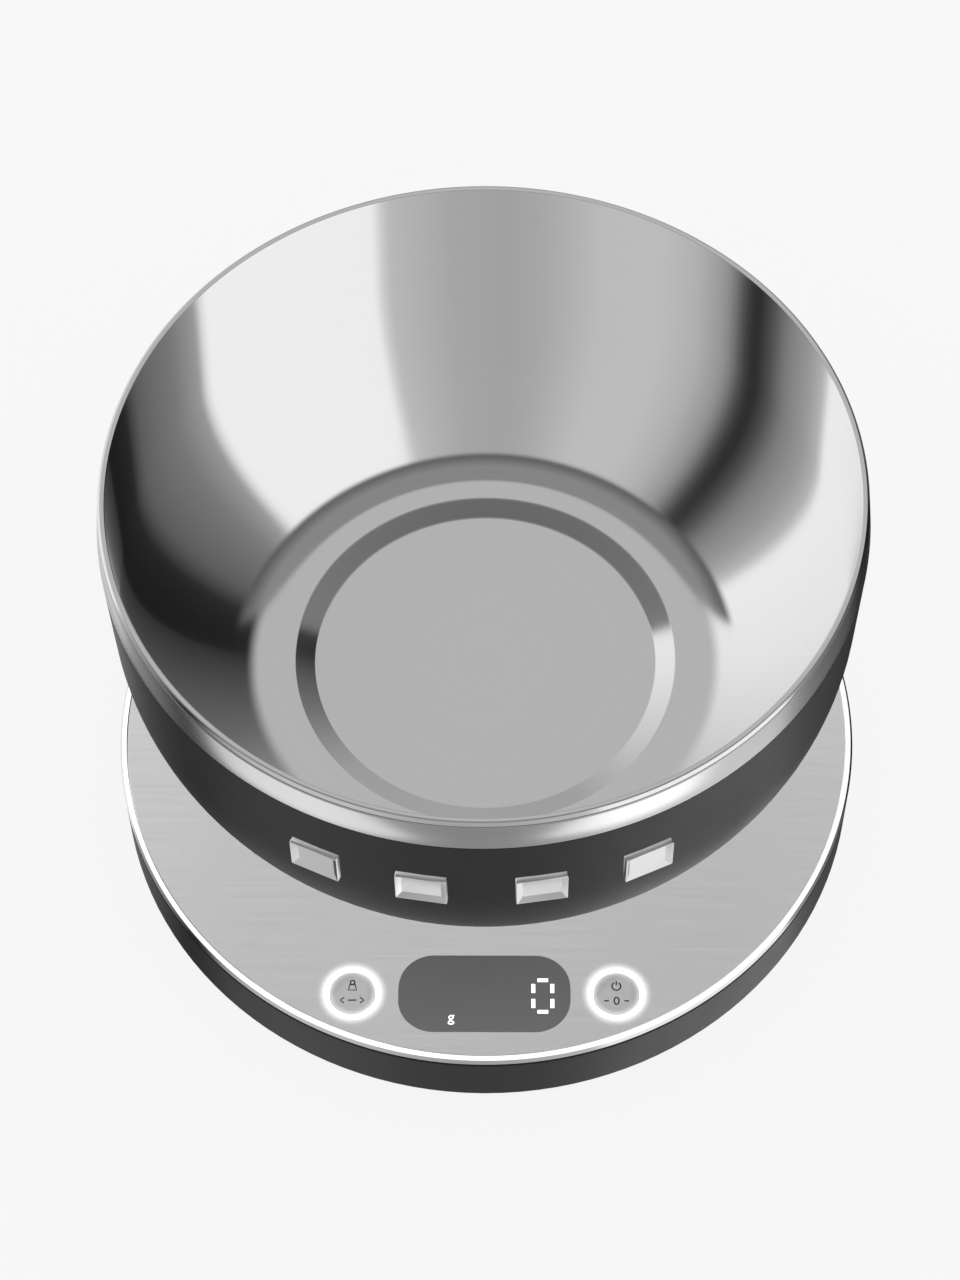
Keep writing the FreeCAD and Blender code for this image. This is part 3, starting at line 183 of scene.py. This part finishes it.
# studio: a dome of soft panels and flags that meet along an upright line behind the object
studio = {
    "meeting": .526,  # how far behind the middle the panels meet
    "panels": [(0, .03), (22, .13), (45, .3), (75, .33), (120, .33), (150, .6), (178, .8), (198, .86),
               (200.5, .47), (205, .33), (212, .21), (216, .083), (220, .017), (223, .06), (227, .3),
               (233, .45), (240, .52), (250, .515), (260, .4), (266, .365), (275, .39), (286.3, .5),
               (288, .87), (320, .88), (321.5, .87), (323, .32), (330, .19), (342, .11), (347.5, .02),
               (355, .013)],
    "overhead": .455,  # the round panel that the bowl's floor and the plate look up to
    "flag": (.24, .1),  # the black card beside it
    "seen": .945,  # what the camera itself sees past the floor
    "horizon": (.0, .1),
    "flagFront": (.47, .44),
    "flagEdge": (.53, .44),
    "flagFade": (.3, .46),
    "lightEdge": (.36, .2),
    "panelEdge": (.1, .065),
}

world = bpy.data.worlds.new("studio")
scene.world = world
tree = emptyTree(world)
direction = tree.nodes.new("ShaderNodeTexCoord").outputs["Generated"]
x, y, z = splitXyz(tree, direction)
behind = calc(tree, "SUBTRACT", y, studio["meeting"])
turn = calc(tree, "FRACT", calc(tree, "DIVIDE", calc(tree, "ARCTAN2", behind, x), math.tau))
ramp = tree.nodes.new("ShaderNodeValToRGB")
stops = ramp.color_ramp.elements
for _ in studio["panels"][2:]:
    stops.new(.5)
for stop, (degrees, value) in zip(stops, studio["panels"]):
    stop.position = degrees / 360
    stop.color = grey(value)
plug(tree, turn, ramp.inputs[0])
spread = vector(tree, "LENGTH", joinXyz(tree, x, behind, 0))
upper = remap(tree, z, *studio["horizon"])
flagSide = calc(tree, "MULTIPLY", remap(tree, y, *studio["flagFront"], soft=True), upper)
flagEdge = calc(tree, "MULTIPLY", flagSide, remap(tree, spread, *studio["flagEdge"], soft=True))
lightSide = calc(tree, "MULTIPLY", remap(tree, spread, *studio["lightEdge"], soft=True), upper)
shade = blendColor(tree, lightSide, ramp.outputs[0], grey(studio["overhead"]))
flag = blendColor(tree, remap(tree, spread, *studio["flagFade"]), *[grey(value) for value in studio["flag"]])
shade = blendColor(tree, flagEdge, shade, flag)
panel = calc(tree, "MULTIPLY", remap(tree, spread, *studio["panelEdge"], soft=True), upper)
shade = blendColor(tree, panel, shade, grey(studio["overhead"]))
rays = tree.nodes.new("ShaderNodeLightPath")
shade = blendColor(tree, rays.outputs["Is Glossy Ray"], grey(studio["seen"]), shade)
background = tree.nodes.new("ShaderNodeBackground")
plug(tree, shade, background.inputs["Color"])
output = tree.nodes.new("ShaderNodeOutputWorld")
tree.links.new(background.outputs[0], output.inputs["Surface"])
scene.view_settings.view_transform = "Standard"
scene.view_settings.look = "None"

view = {"elevation": 58.25, "distance": .9074, "yaw": .01916, "roll": -.01473, "lens": 92.8,
        "target": Vector((-.00138, 0, .07084))}
tilt, yaw = math.radians(view["elevation"]), view["yaw"]
forward = Vector((-math.sin(yaw) * math.cos(tilt), math.cos(yaw) * math.cos(tilt), -math.sin(tilt)))
right = forward.cross(Vector((0, 0, 1))).normalized()
eye = view["target"] - forward * view["distance"]
level = Matrix((right, right.cross(forward), -forward)).transposed().to_4x4()
lens = bpy.data.cameras.new("camera")
lens.lens = view["lens"]
camera = bpy.data.objects.new("camera", lens)
camera.matrix_world = Matrix.Translation(eye) @ level @ Matrix.Rotation(view["roll"], 4, "Z")
scene.collection.objects.link(camera)
scene.camera = camera


def finishMesh(name, bm, material, body, smooth=30):
    bmesh.ops.remove_doubles(bm, verts=bm.verts, dist=.002 * mm)
    bmesh.ops.recalc_face_normals(bm, faces=bm.faces)
    mesh = bpy.data.meshes.new(name)
    bm.to_mesh(mesh)
    bm.free()
    piece = bpy.data.objects.new(name, mesh)
    scene.collection.objects.link(piece)
    mesh.materials.append(material)
    mesh.shade_smooth()
    mesh.set_sharp_from_angle(angle=math.radians(smooth))
    if body:
        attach(piece, body)
    return piece


paper = {"tone": .9, "glowing": .93, "radius": 6}
floorPaper = bpy.data.materials.new("floorPaper")
tree = emptyTree(floorPaper)
matte = tree.nodes.new("ShaderNodeBsdfDiffuse")
matte.inputs["Color"].default_value = grey(paper["tone"])
glow = tree.nodes.new("ShaderNodeEmission")
glow.inputs["Color"].default_value = grey(studio["seen"])
mixer = tree.nodes.new("ShaderNodeMixShader")
mixer.inputs[0].default_value = paper["glowing"]
tree.links.new(matte.outputs[0], mixer.inputs[1])
tree.links.new(glow.outputs[0], mixer.inputs[2])
output = tree.nodes.new("ShaderNodeOutputMaterial")
tree.links.new(mixer.outputs[0], output.inputs["Surface"])
bm = bmesh.new()
bmesh.ops.create_circle(bm, cap_ends=True, segments=96, radius=paper["radius"])
floor = finishMesh("floor", bm, floorPaper, None)
print("studio, camera and floor ready")


# effects that several finishes share

def grainGroup():
    inputs = [("Where", "NodeSocketVector", None), ("Size", "NodeSocketFloat", 1.0)]
    group, given, out = newGroup("grain", inputs, ["Fine", "Broad"])
    tree = group
    near = calc(tree, "DIVIDE", 2200.0, given.outputs["Size"])
    plug(tree, noise(tree, given.outputs["Where"], near, 3, .6), out.inputs["Fine"])
    plug(tree, noise(tree, given.outputs["Where"], 38.0, 3), out.inputs["Broad"])
    return group


def brushGroup():
    # lines along X, some long and faint, some short and fine
    inputs = [("Where", "NodeSocketVector", None)]
    group, given, out = newGroup("brushedLines", inputs, ["Lines", "Scratch", "Cloud"])
    tree = group
    x, y, z = splitXyz(tree, given.outputs["Where"])
    fine = joinXyz(tree, calc(tree, "MULTIPLY", x, 26.0), calc(tree, "MULTIPLY", y, 5200.0), z)
    long = joinXyz(tree, calc(tree, "MULTIPLY", x, 14.0), calc(tree, "MULTIPLY", y, 900.0), z)
    plug(tree, noise(tree, fine, 1.0, 4, .65), out.inputs["Lines"])
    scratch = remap(tree, noise(tree, long, 1.0, 5, .8), .6, .74)
    plug(tree, scratch, out.inputs["Scratch"])
    plug(tree, noise(tree, given.outputs["Where"], 14.0, 2), out.inputs["Cloud"])
    return group


def turnedGroup():
    # lines round Z: they follow the radius and the height, and drift slowly round the ring
    inputs = [("Where", "NodeSocketVector", None)]
    group, given, out = newGroup("turnedLines", inputs, ["Lines", "Cloud"])
    tree = group
    x, y, z = splitXyz(tree, given.outputs["Where"])
    radius = vector(tree, "LENGTH", joinXyz(tree, x, y, 0))
    drift = noise(tree, given.outputs["Where"], 9.0, 1)
    lines = joinXyz(tree, calc(tree, "MULTIPLY", radius, 2600.0), calc(tree, "MULTIPLY", z, 2600.0),
                    calc(tree, "MULTIPLY", drift, 9.0))
    plug(tree, noise(tree, lines, 1.0, 4, .6), out.inputs["Lines"])
    plug(tree, noise(tree, given.outputs["Where"], 22.0, 2), out.inputs["Cloud"])
    return group


def paintedHaloGroup():
    # painted glow: emission on the plate and key caps that stands in for light spilt by the two rings,
    # bright beside them, gone a few millimetres away
    low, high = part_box("light_rings")
    centreY = (low[1] + high[1]) / 2
    capLow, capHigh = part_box("tare_key_cap")
    spacing = (capLow[0] + capHigh[0]) / 2
    inputs = [("Where", "NodeSocketVector", None), ("Radius", "NodeSocketFloat", 7.05),
              ("Reach", "NodeSocketFloat", 3.0)]
    group, given, out = newGroup("paintedRingHalo", inputs, ["Glow"])
    tree = group
    x, y, z = splitXyz(tree, given.outputs["Where"])
    across = calc(tree, "SUBTRACT", calc(tree, "ABSOLUTE", x), float(spacing))
    away = vector(tree, "LENGTH", joinXyz(tree, across, calc(tree, "SUBTRACT", y, float(centreY)), 0))
    away = calc(tree, "MULTIPLY", away, 1000.0)
    off = calc(tree, "ABSOLUTE", calc(tree, "SUBTRACT", away, given.outputs["Radius"]))
    fade = calc(tree, "SUBTRACT", 1.0, calc(tree, "DIVIDE", off, given.outputs["Reach"]))
    plug(tree, calc(tree, "POWER", calc(tree, "MAXIMUM", fade, 0.0), 2.2), out.inputs["Glow"])
    return group


grain = grainGroup()
brush = brushGroup()
turned = turnedGroup()
paintedHalo = paintedHaloGroup()


def ringTangent(tree):
    # the direction round Z, which the turning lines follow
    x, y, z = splitXyz(tree, place(tree))
    return vector(tree, "NORMALIZE", joinXyz(tree, calc(tree, "MULTIPLY", y, -1.0), x, 0))


def mouldedPlastic(name, tone, rough, size=1.0, depth=.02, warm=0.0, shine=.5):
    material = bpy.data.materials.new(name)
    tree = emptyTree(material)
    effect = useGroup(tree, grain, Where=place(tree), Size=size)
    color = blendColor(tree, effect["Broad"], grey(tone * .8, warm), grey(tone * 1.25, warm))
    both = calc(tree, "ADD", effect["Fine"], effect["Broad"])
    roughness = remap(tree, both, .6, 1.4, rough - .05, rough + .06)
    principled(tree, Base_Color=color, Roughness=roughness, Specular_IOR_Level=shine,
               Normal=bump(tree, effect["Fine"], .35, depth * mm))
    return material


def turnedSteel(name, tone, rough, anisotropy, depth):
    material = bpy.data.materials.new(name)
    tree = emptyTree(material)
    effect = useGroup(tree, turned, Where=place(tree))
    color = blendColor(tree, effect["Lines"], grey(tone * .97), grey(min(tone * 1.03, .995)))
    both = calc(tree, "ADD", effect["Lines"], effect["Cloud"])
    roughness = remap(tree, both, .6, 1.4, rough * .85, rough * 1.2)
    principled(tree, Base_Color=color, Metallic=1.0, Roughness=roughness, Anisotropic=anisotropy,
               Tangent=ringTangent(tree), Normal=bump(tree, effect["Lines"], .25, depth * mm))
    return material


def brushedSteel(name, tone, rough, glowRadius, reach, glow):
    material = bpy.data.materials.new(name)
    tree = emptyTree(material)
    where = place(tree)
    effect = useGroup(tree, brush, Where=where)
    color = blendColor(tree, effect["Lines"], grey(tone * .86), grey(min(tone * 1.1, .99)))
    color = blendColor(tree, calc(tree, "MULTIPLY", effect["Scratch"], .35), color, grey(tone * .72))
    color = blendColor(tree, remap(tree, effect["Cloud"], .3, .7, 0, .12), color, grey(tone * .8))
    roughness = remap(tree, effect["Lines"], .3, .7, rough * .85, rough * 1.2)
    # painted glow: the steel's own emission, strongest beside the two rings, stands in for light spilt by
    # them
    light = useGroup(tree, paintedHalo, Where=where, Radius=glowRadius, Reach=reach)["Glow"]
    principled(tree, Base_Color=color, Metallic=1.0, Roughness=roughness, Anisotropic=.75,
               Tangent=joinXyz(tree, 1, 0, 0), Normal=bump(tree, effect["Lines"], .3, .012 * mm),
               Emission_Color=blendColor(tree, light, grey(0), grey(1)), Emission_Strength=glow)
    return material


def polishedMetal(name, color, rough):
    material = bpy.data.materials.new(name)
    tree = emptyTree(material)
    effect = useGroup(tree, grain, Where=place(tree), Size=3.0)
    dark = (*[c * .95 for c in color], 1)
    light = (*[min(c * 1.04, .995) for c in color], 1)
    shade = blendColor(tree, effect["Broad"], dark, light)
    roughness = remap(tree, effect["Fine"], .3, .7, rough * .8, rough * 1.3)
    principled(tree, Base_Color=shade, Metallic=1.0, Roughness=roughness,
               Normal=bump(tree, effect["Fine"], .15, .004 * mm))
    return material


def tintedWindow():
    material = bpy.data.materials.new("tintedWindow")
    tree = emptyTree(material)
    effect = useGroup(tree, grain, Where=place(tree), Size=2.0)
    color = blendColor(tree, effect["Broad"], grey(.21), grey(.235))
    roughness = remap(tree, effect["Fine"], .3, .7, .2, .28)
    principled(tree, Base_Color=color, Roughness=roughness, Coat_Weight=.25, Coat_Roughness=.12)
    return material


def litPlastic(name, strength):
    material = bpy.data.materials.new(name)
    tree = emptyTree(material)
    effect = useGroup(tree, grain, Where=place(tree), Size=4.0)
    color = blendColor(tree, effect["Broad"], grey(.93), grey(1.0))
    principled(tree, Base_Color=color, Roughness=remap(tree, effect["Fine"], .3, .7, .35, .5),
               Emission_Color=color, Emission_Strength=strength)
    return material


def circuitBoard():
    material = bpy.data.materials.new("circuitBoard")
    tree = emptyTree(material)
    where = place(tree)
    tracks = tree.nodes.new("ShaderNodeTexBrick")
    pattern = {"Scale": 260.0, "Mortar Size": .06, "Brick Width": 1.4, "Row Height": .55}
    for socketName, value in pattern.items():
        tracks.inputs[socketName].default_value = value
    plug(tree, where, tracks.inputs["Vector"])
    tracks.inputs["Color1"].default_value = (.015, .1, .035, 1)
    tracks.inputs["Color2"].default_value = (.012, .075, .03, 1)
    tracks.inputs["Mortar"].default_value = (.06, .22, .07, 1)
    effect = useGroup(tree, grain, Where=where, Size=1.5)
    principled(tree, Base_Color=tracks.outputs["Color"], Coat_Weight=.3,
               Roughness=remap(tree, effect["Fine"], .3, .7, .3, .45),
               Normal=bump(tree, tracks.outputs["Fac"], .4, .03 * mm))
    return material


def batteryCase():
    # a plain two-tone sleeve: the last stretch of each cell's length is lighter
    material = bpy.data.materials.new("batteryCase")
    tree = emptyTree(material)
    where = place(tree)
    effect = useGroup(tree, grain, Where=where, Size=2.0)
    x, y, z = splitXyz(tree, where)
    cap = remap(tree, calc(tree, "ABSOLUTE", x), 14 * mm, 14.2 * mm)
    color = blendColor(tree, cap, (.03, .035, .045, 1), (.5, .34, .16, 1))
    principled(tree, Base_Color=color, Metallic=cap, Roughness=remap(tree, effect["Fine"], .3, .7, .25, .4))
    return material


def inkMark():
    material = bpy.data.materials.new("inkMark")
    tree = emptyTree(material)
    effect = useGroup(tree, grain, Where=place(tree), Size=1.0)
    principled(tree, Base_Color=blendColor(tree, effect["Fine"], grey(.02), grey(.05)), Roughness=.6)
    return material


def paint(material, *names):
    for name in names:
        mesh = nodes[name].data
        mesh.materials.clear()
        mesh.materials.append(material)


bowlSteel = turnedSteel("bowlSteel", .97, .075, .3, .0008)
bandSteel = turnedSteel("bandSteel", .6, .22, .5, .004)
chrome = polishedMetal("chrome", (.93, .93, .93), .07)
barChrome = polishedMetal("barChrome", (.9, .9, .9), .2)
# the plate and the key caps carry painted glow as emission beside the two rings
plateSteel = brushedSteel("plateSteel", .9, .42, 7.05, 3.2, 1.1)
capSteel = brushedSteel("capSteel", .8, .4, 7.05, 2.6, .8)
jacketBlack = mouldedPlastic("jacketBlack", .012, .42, shine=.25)
baseBlack = mouldedPlastic("baseBlack", .01, .34, shine=.3)
trayBlack = mouldedPlastic("trayBlack", .028, .55, 1.6, .05)
padRubber = mouldedPlastic("padRubber", .03, .75, 2.5, .08)
chipBlack = mouldedPlastic("chipBlack", .03, .5, 1.2)
leadWhite = mouldedPlastic("leadWhite", .7, .45, 2.0, .02, .02)
sealant = mouldedPlastic("sealant", .78, .6, 3.0, .06, .03)
screwSteel = polishedMetal("screwSteel", (.6, .6, .61), .3)
zincSteel = polishedMetal("zincSteel", (.66, .67, .7), .42)
springSteel = polishedMetal("springSteel", (.75, .74, .72), .2)
beamAluminium = brushedSteel("beamAluminium", .78, .45, 0.0, .001, 0.0)
ringLight = litPlastic("ringLight", 1.9)
lampWhite = litPlastic("lampWhite", 1.6)
markInk = inkMark()
paint(tintedWindow(), "display_lens")
paint(circuitBoard(), "main_board", "display_board")
paint(batteryCase(), "batteries")
paint(jacketBlack, "bowl_jacket", "bowl_pedestal")
paint(baseBlack, "skirt_ring", "carrier")
paint(trayBlack, "bottom_tray", "battery_door")
paint(padRubber, "rubber_feet", "pedestal_pad")
paint(chipBlack, "board_parts", "led_module", "switch_bodies", "unit_key_plunger", "tare_key_plunger")
paint(leadWhite, "cell_lead", "battery_lead", "display_ribbon")
paint(sealant, "gauge_covers")
paint(screwSteel, "tray_screws", "cell_screws_lower", "cell_screws_upper", "overload_stops", "board_screws",
      "pedestal_screws")
paint(zincSteel, "cell_base_plate", "cell_spacer", "bowl_studs")
paint(springSteel, "battery_springs", "contact_plates")
paint(beamAluminium, "load_cell")
paint(plateSteel, "top_plate")
paint(capSteel, "unit_key_cap", "tare_key_cap")
paint(ringLight, "light_rings")
paint(lampWhite, "ring_leds")
print("finishes ready")


# turned pieces: an outline in the XZ plane, spun round Z

def arc(centreX, centreZ, radius, start, end, steps):
    # points on a circle, with the angle measured from straight down towards +X
    turns = [math.radians(start + (end - start) * i / steps) for i in range(steps + 1)]
    return [(centreX + radius * math.sin(t), centreZ - radius * math.cos(t)) for t in turns]


def spun(name, outline, material, body, closed=True, steps=224, smooth=30):
    bm = bmesh.new()
    points = [bm.verts.new((x * mm, 0, z * mm)) for x, z in outline]
    edges = [bm.edges.new(pair) for pair in zip(points, points[1:])]
    if closed:
        edges.append(bm.edges.new((points[-1], points[0])))
    bmesh.ops.spin(bm, geom=points + edges, cent=(0, 0, 0), axis=(0, 0, 1), angle=math.tau, steps=steps,
                   use_merge=True)
    return finishMesh(name, bm, material, body, smooth)


def mixingBowl():
    # the drawn bowl: rolled lip, straight wall, wide corner, floor with a round recess
    size = {"wall": 96.7, "thick": 1.0, "lip": 2.0, "lipHeight": 1.5, "lipRound": .7, "corner": 60.5,
            "cornerLevel": 108.0, "floor": 62.5, "sweep": 40.0, "recess": 52.8, "slope": 5.8, "depth": 1.5,
            "recessRound": 3.0, "hiddenFrom": 48, "footing": 9.0}
    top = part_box("bowl_shell")[1][2] / mm
    inner, outer = size["wall"], size["wall"] + size["thick"]
    lipEdge = inner + size["lip"]
    axis = inner - size["corner"]
    reach, drop = size["corner"] - size["sweep"], size["cornerLevel"] - size["floor"] - size["sweep"]
    sweepX = axis + math.sqrt(reach ** 2 - drop ** 2)
    meet = math.degrees(math.atan2(sweepX - axis, drop))
    slope = math.degrees(math.atan2(size["depth"], size["slope"]))
    run = size["recessRound"] * math.tan(math.radians(slope / 2))
    recessEdge = size["recess"] - size["slope"]
    low, soft = size["floor"] - size["depth"], size["recessRound"]
    inside = [(0.0, low)]
    inside += arc(recessEdge - run, low + soft, soft, 0, slope, 6)
    inside += arc(size["recess"] + run, size["floor"] - soft, soft, 180 + slope, 180, 6)
    inside += arc(sweepX, size["floor"] + size["sweep"], size["sweep"], 0, meet, 26)
    inside += arc(axis, size["cornerLevel"], size["corner"], meet, 90, 14)[1:]
    bead = size["lipRound"]
    rim = arc(inner + bead / 2, top - bead / 2, bead / 2, 270, 180, 4)
    rim += arc(lipEdge - bead, top - bead, bead, 180, 90, 6)
    rim += arc(lipEdge - bead, top - size["lipHeight"] + bead, bead, 90, 0, 6)
    under = size["floor"] - size["thick"]
    outside = [(outer, top - size["lipHeight"])]
    outside += arc(axis, size["cornerLevel"], size["corner"] + size["thick"], 90, size["hiddenFrom"], 14)
    outside += [(size["recess"] + size["footing"], under), (size["recess"], under),
                (recessEdge, under - size["depth"]), (0.0, under - size["depth"])]
    piece = spun("mixing_bowl", inside + rim + outside, bowlSteel, "bowl", closed=False)
    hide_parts("bowl_shell")
    return piece


def rimCollar():
    # the leaning band that covers the jacket's upper edge
    size = {"inner": 97.8, "lean": .9, "round": .35}
    low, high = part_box("rim_band")
    radius, top, bottom = high[0] / mm, high[2] / mm, low[2] / mm
    inner, bend = size["inner"], size["round"]
    outline = [(inner, bottom)] + arc(radius - bend, bottom + bend, bend, 0, 86, 5)
    outline += arc(radius - size["lean"] - bend, top - bend, bend, 90, 180, 5) + [(inner, top)]
    piece = spun("rim_collar", outline, bandSteel, "bowl")
    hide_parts("rim_band")
    return piece


def trimRing():
    size = {"wide": 2.0, "round": .85, "innerRound": .25, "flange": 1.9, "flangeHeight": .85}
    low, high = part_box("rim_trim")
    radius, top, bottom = high[0] / mm, high[2] / mm, low[2] / mm
    inner, small = radius - size["wide"], size["innerRound"]
    ledge = bottom + size["flangeHeight"]
    outline = [(inner - size["flange"], bottom)] + arc(radius - small, bottom + small, small, 0, 90, 3)
    outline += arc(radius - size["round"], top - size["round"], size["round"], 90, 180, 8)
    outline += arc(inner + small, top - small, small, 180, 270, 3)
    outline += [(inner, ledge), (inner - size["flange"], ledge)]
    piece = spun("trim_ring", outline, chrome, "platform")
    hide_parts("rim_trim")
    return piece


mixingBowl()
bandPiece, trimPiece = rimCollar(), trimRing()
print("turned pieces ready")


def flatMark(name, lines, width, level, material, body, flatten=.12):
    # strokes drawn as round wires, pressed flat on a surface
    curve = bpy.data.curves.new(name, "CURVE")
    curve.dimensions = "3D"
    curve.bevel_depth = width / 2 * mm
    curve.bevel_resolution = 3
    curve.use_fill_caps = True
    for points, isClosed in lines:
        line = curve.splines.new("POLY")
        line.points.add(len(points) - 1)
        for point, (x, y) in zip(line.points, points):
            point.co = (x * mm, y * mm, 0, 1)
        line.use_cyclic_u = isClosed
    shape = bpy.data.objects.new(name + "Curve", curve)
    bm = bmesh.new()
    bm.from_mesh(bpy.data.meshes.new_from_object(shape))
    bpy.data.objects.remove(shape)
    bmesh.ops.scale(bm, vec=(1, 1, flatten), verts=bm.verts)
    bmesh.ops.translate(bm, vec=(0, 0, level), verts=bm.verts)
    return finishMesh(name, bm, material, body, 60)


def arcLine(x, y, radius, start, end, steps=20):
    turns = [math.radians(start + (end - start) * i / steps) for i in range(steps + 1)]
    return [(x + radius * math.cos(t), y + radius * math.sin(t)) for t in turns]


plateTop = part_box("top_plate")[1][2]
capLow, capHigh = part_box("tare_key_cap")
capTop = capHigh[2]
keyX = (capLow[0] + capHigh[0]) / 2 / mm
row = (capLow[1] + capHigh[1]) / 2 / mm

digit = {"x": 16.0, "down": .7, "halfWide": 2.6, "halfTall": 4.75, "stroke": 1.05, "gap": 1.15}


def litZero():
    # the six outer bars of a seven-bar figure
    x, y = digit["x"], row - digit["down"]
    wide, tall, gap = digit["halfWide"], digit["halfTall"], digit["gap"]
    lines = [([(x - wide + gap, y + side * tall), (x + wide - gap, y + side * tall)], False)
             for side in (-1, 1)]
    lines += [([(x + across * wide, y + up * gap * .8), (x + across * wide, y + up * (tall - gap))], False)
              for across in (-1, 1) for up in (-1, 1)]
    return flatMark("lit_zero", lines, digit["stroke"], plateTop, lampWhite, "platform", .06)


litZero()


def unitLetter():
    # a small lit g for grams
    size = {"x": -9.0, "down": 8.4, "tall": 4.2, "lift": .02}
    text = bpy.data.curves.new("gram_mark", "FONT")
    text.body = "g"
    text.size = size["tall"] * mm
    text.align_x = "CENTER"
    shape = bpy.data.objects.new("gramText", text)
    bm = bmesh.new()
    bm.from_mesh(bpy.data.meshes.new_from_object(shape))
    bpy.data.objects.remove(shape)
    where = (size["x"] * mm, (row - size["down"]) * mm, plateTop + size["lift"] * mm)
    bmesh.ops.translate(bm, vec=where, verts=bm.verts)
    return finishMesh("gram_mark", bm, lampWhite, "platform", 30)


unitLetter()
mark = {"stroke": .4, "iconUp": 2.2, "wordDown": 2.2, "eyeUp": .95, "eye": .62, "shoulder": .75,
        "shoulderUp": .25, "foot": 1.1, "footDown": 1.35, "tip": 3.2, "wing": 2.2, "wingTall": .85,
        "dash": 1.2, "power": 1.2, "powerOpen": (122, 418), "stem": (.3, 1.6), "zero": 1.05, "narrow": .62,
        "side": (2.1, 3.4)}
iconY, wordY = row + mark["iconUp"], row - mark["wordDown"]
shoulderY, footY = iconY + mark["shoulderUp"], iconY - mark["footDown"]
weight = [(arcLine(-keyX, iconY + mark["eyeUp"], mark["eye"], 0, 360)[:-1], True),
          ([(-keyX - mark["shoulder"], shoulderY), (-keyX + mark["shoulder"], shoulderY),
            (-keyX + mark["foot"], footY), (-keyX - mark["foot"], footY)], True)]
arrows = [([(-keyX + side * mark["wing"], wordY + mark["wingTall"]), (-keyX + side * mark["tip"], wordY),
            (-keyX + side * mark["wing"], wordY - mark["wingTall"])], False) for side in (-1, 1)]
arrows += [([(-keyX - mark["dash"], wordY), (-keyX + mark["dash"], wordY)], False)]
power = [(arcLine(keyX, iconY, mark["power"], *mark["powerOpen"]), False),
         ([(keyX, iconY + up) for up in mark["stem"]], False)]
zero = [([(keyX + side * away, wordY) for away in mark["side"]], False) for side in (-1, 1)]
narrow = mark["narrow"]
ringPoints = arcLine(keyX, wordY, mark["zero"], 0, 360)[:-1]
zero += [([(x * narrow + keyX * (1 - narrow), y) for x, y in ringPoints], True)]
flatMark("unit_key_mark", weight + arrows, mark["stroke"], capTop, markInk, "unit_key")
flatMark("tare_key_mark", power + zero, mark["stroke"], capTop, markInk, "tare_key")


def badgeBars():
    # four plain bars with a sunk panel, where the maker's name would be
    size = {"wide": 13.0, "deep": 1.9, "frame": 2.2, "sunk": 1.3, "edge": .22, "radius": 101.1,
            "azimuths": (-24.5, -8.6, 8.6, 24.5)}
    low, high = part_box("badge_bars")
    level = (low[2] + high[2]) / 2
    front = size["radius"] * mm
    bm = bmesh.new()
    for azimuth in size["azimuths"]:
        earlier = set(bm.verts)
        made = bmesh.ops.create_cube(bm, size=1)["verts"]
        bmesh.ops.scale(bm, vec=(size["wide"] * mm, size["deep"] * mm, high[2] - low[2]), verts=made)
        face = [f for f in bm.faces if f.normal.y < -.9 and f.verts[0] in made]
        bmesh.ops.inset_region(bm, faces=face, thickness=size["frame"] * mm)
        bmesh.ops.translate(bm, vec=(0, size["sunk"] * mm, 0), verts=face[0].verts)
        turn = Matrix.Rotation(math.radians(azimuth), 4, "Z")
        shift = Matrix.Translation((0, -front + size["deep"] / 2 * mm, level))
        bmesh.ops.transform(bm, matrix=turn @ shift, verts=[v for v in bm.verts if v not in earlier])
    bmesh.ops.bevel(bm, geom=bm.edges, offset=size["edge"] * mm, segments=3, profile=.5, affect="EDGES",
                    material=-1)
    piece = finishMesh("front_bars", bm, barChrome, "bowl", 40)
    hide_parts("badge_bars")
    return piece


barPiece = badgeBars()
print("marks and bars ready")


aim = Vector((0, 0, .08))


def lamp(name, azimuth, height, distance, size, power, only):
    # a soft square light aimed at the bowl, which lights the given pieces alone
    data = bpy.data.lights.new(name, "AREA")
    data.size = size
    data.energy = power
    thing = bpy.data.objects.new(name, data)
    turn = math.radians(azimuth)
    spot = Vector((math.cos(turn) * distance, math.sin(turn) * distance, height))
    thing.matrix_world = Matrix.Translation(spot) @ (spot - aim).to_track_quat("Z", "Y").to_matrix().to_4x4()
    scene.collection.objects.link(thing)
    group = bpy.data.collections.new(name + "Only")
    for piece in only:
        group.objects.link(piece)
    thing.light_linking.receiver_collection = group


plateParts = [nodes["top_plate"], nodes["unit_key_cap"], nodes["tare_key_cap"]]
lamp("bandLeft", azimuth=218, height=-.8, distance=.9, size=.8, power=1.5, only=[bandPiece])
lamp("bandRight", azimuth=310, height=-.8, distance=.9, size=.6, power=1.1, only=[bandPiece])
lamp("plateLight", azimuth=90, height=1.36, distance=.85, size=1.2, power=2.7, only=plateParts)
lamp("edgeLight", azimuth=90, height=1.5, distance=.2, size=3.0, power=26, only=[trimPiece])
lamp("barLight", azimuth=270, height=-.7, distance=.9, size=1.0, power=1.1, only=[barPiece])
for piece in scene.objects:
    if piece.type == "MESH":
        piece.visible_glossy = False  # the metal mirrors the dome alone

bpy.context.view_layer.update()
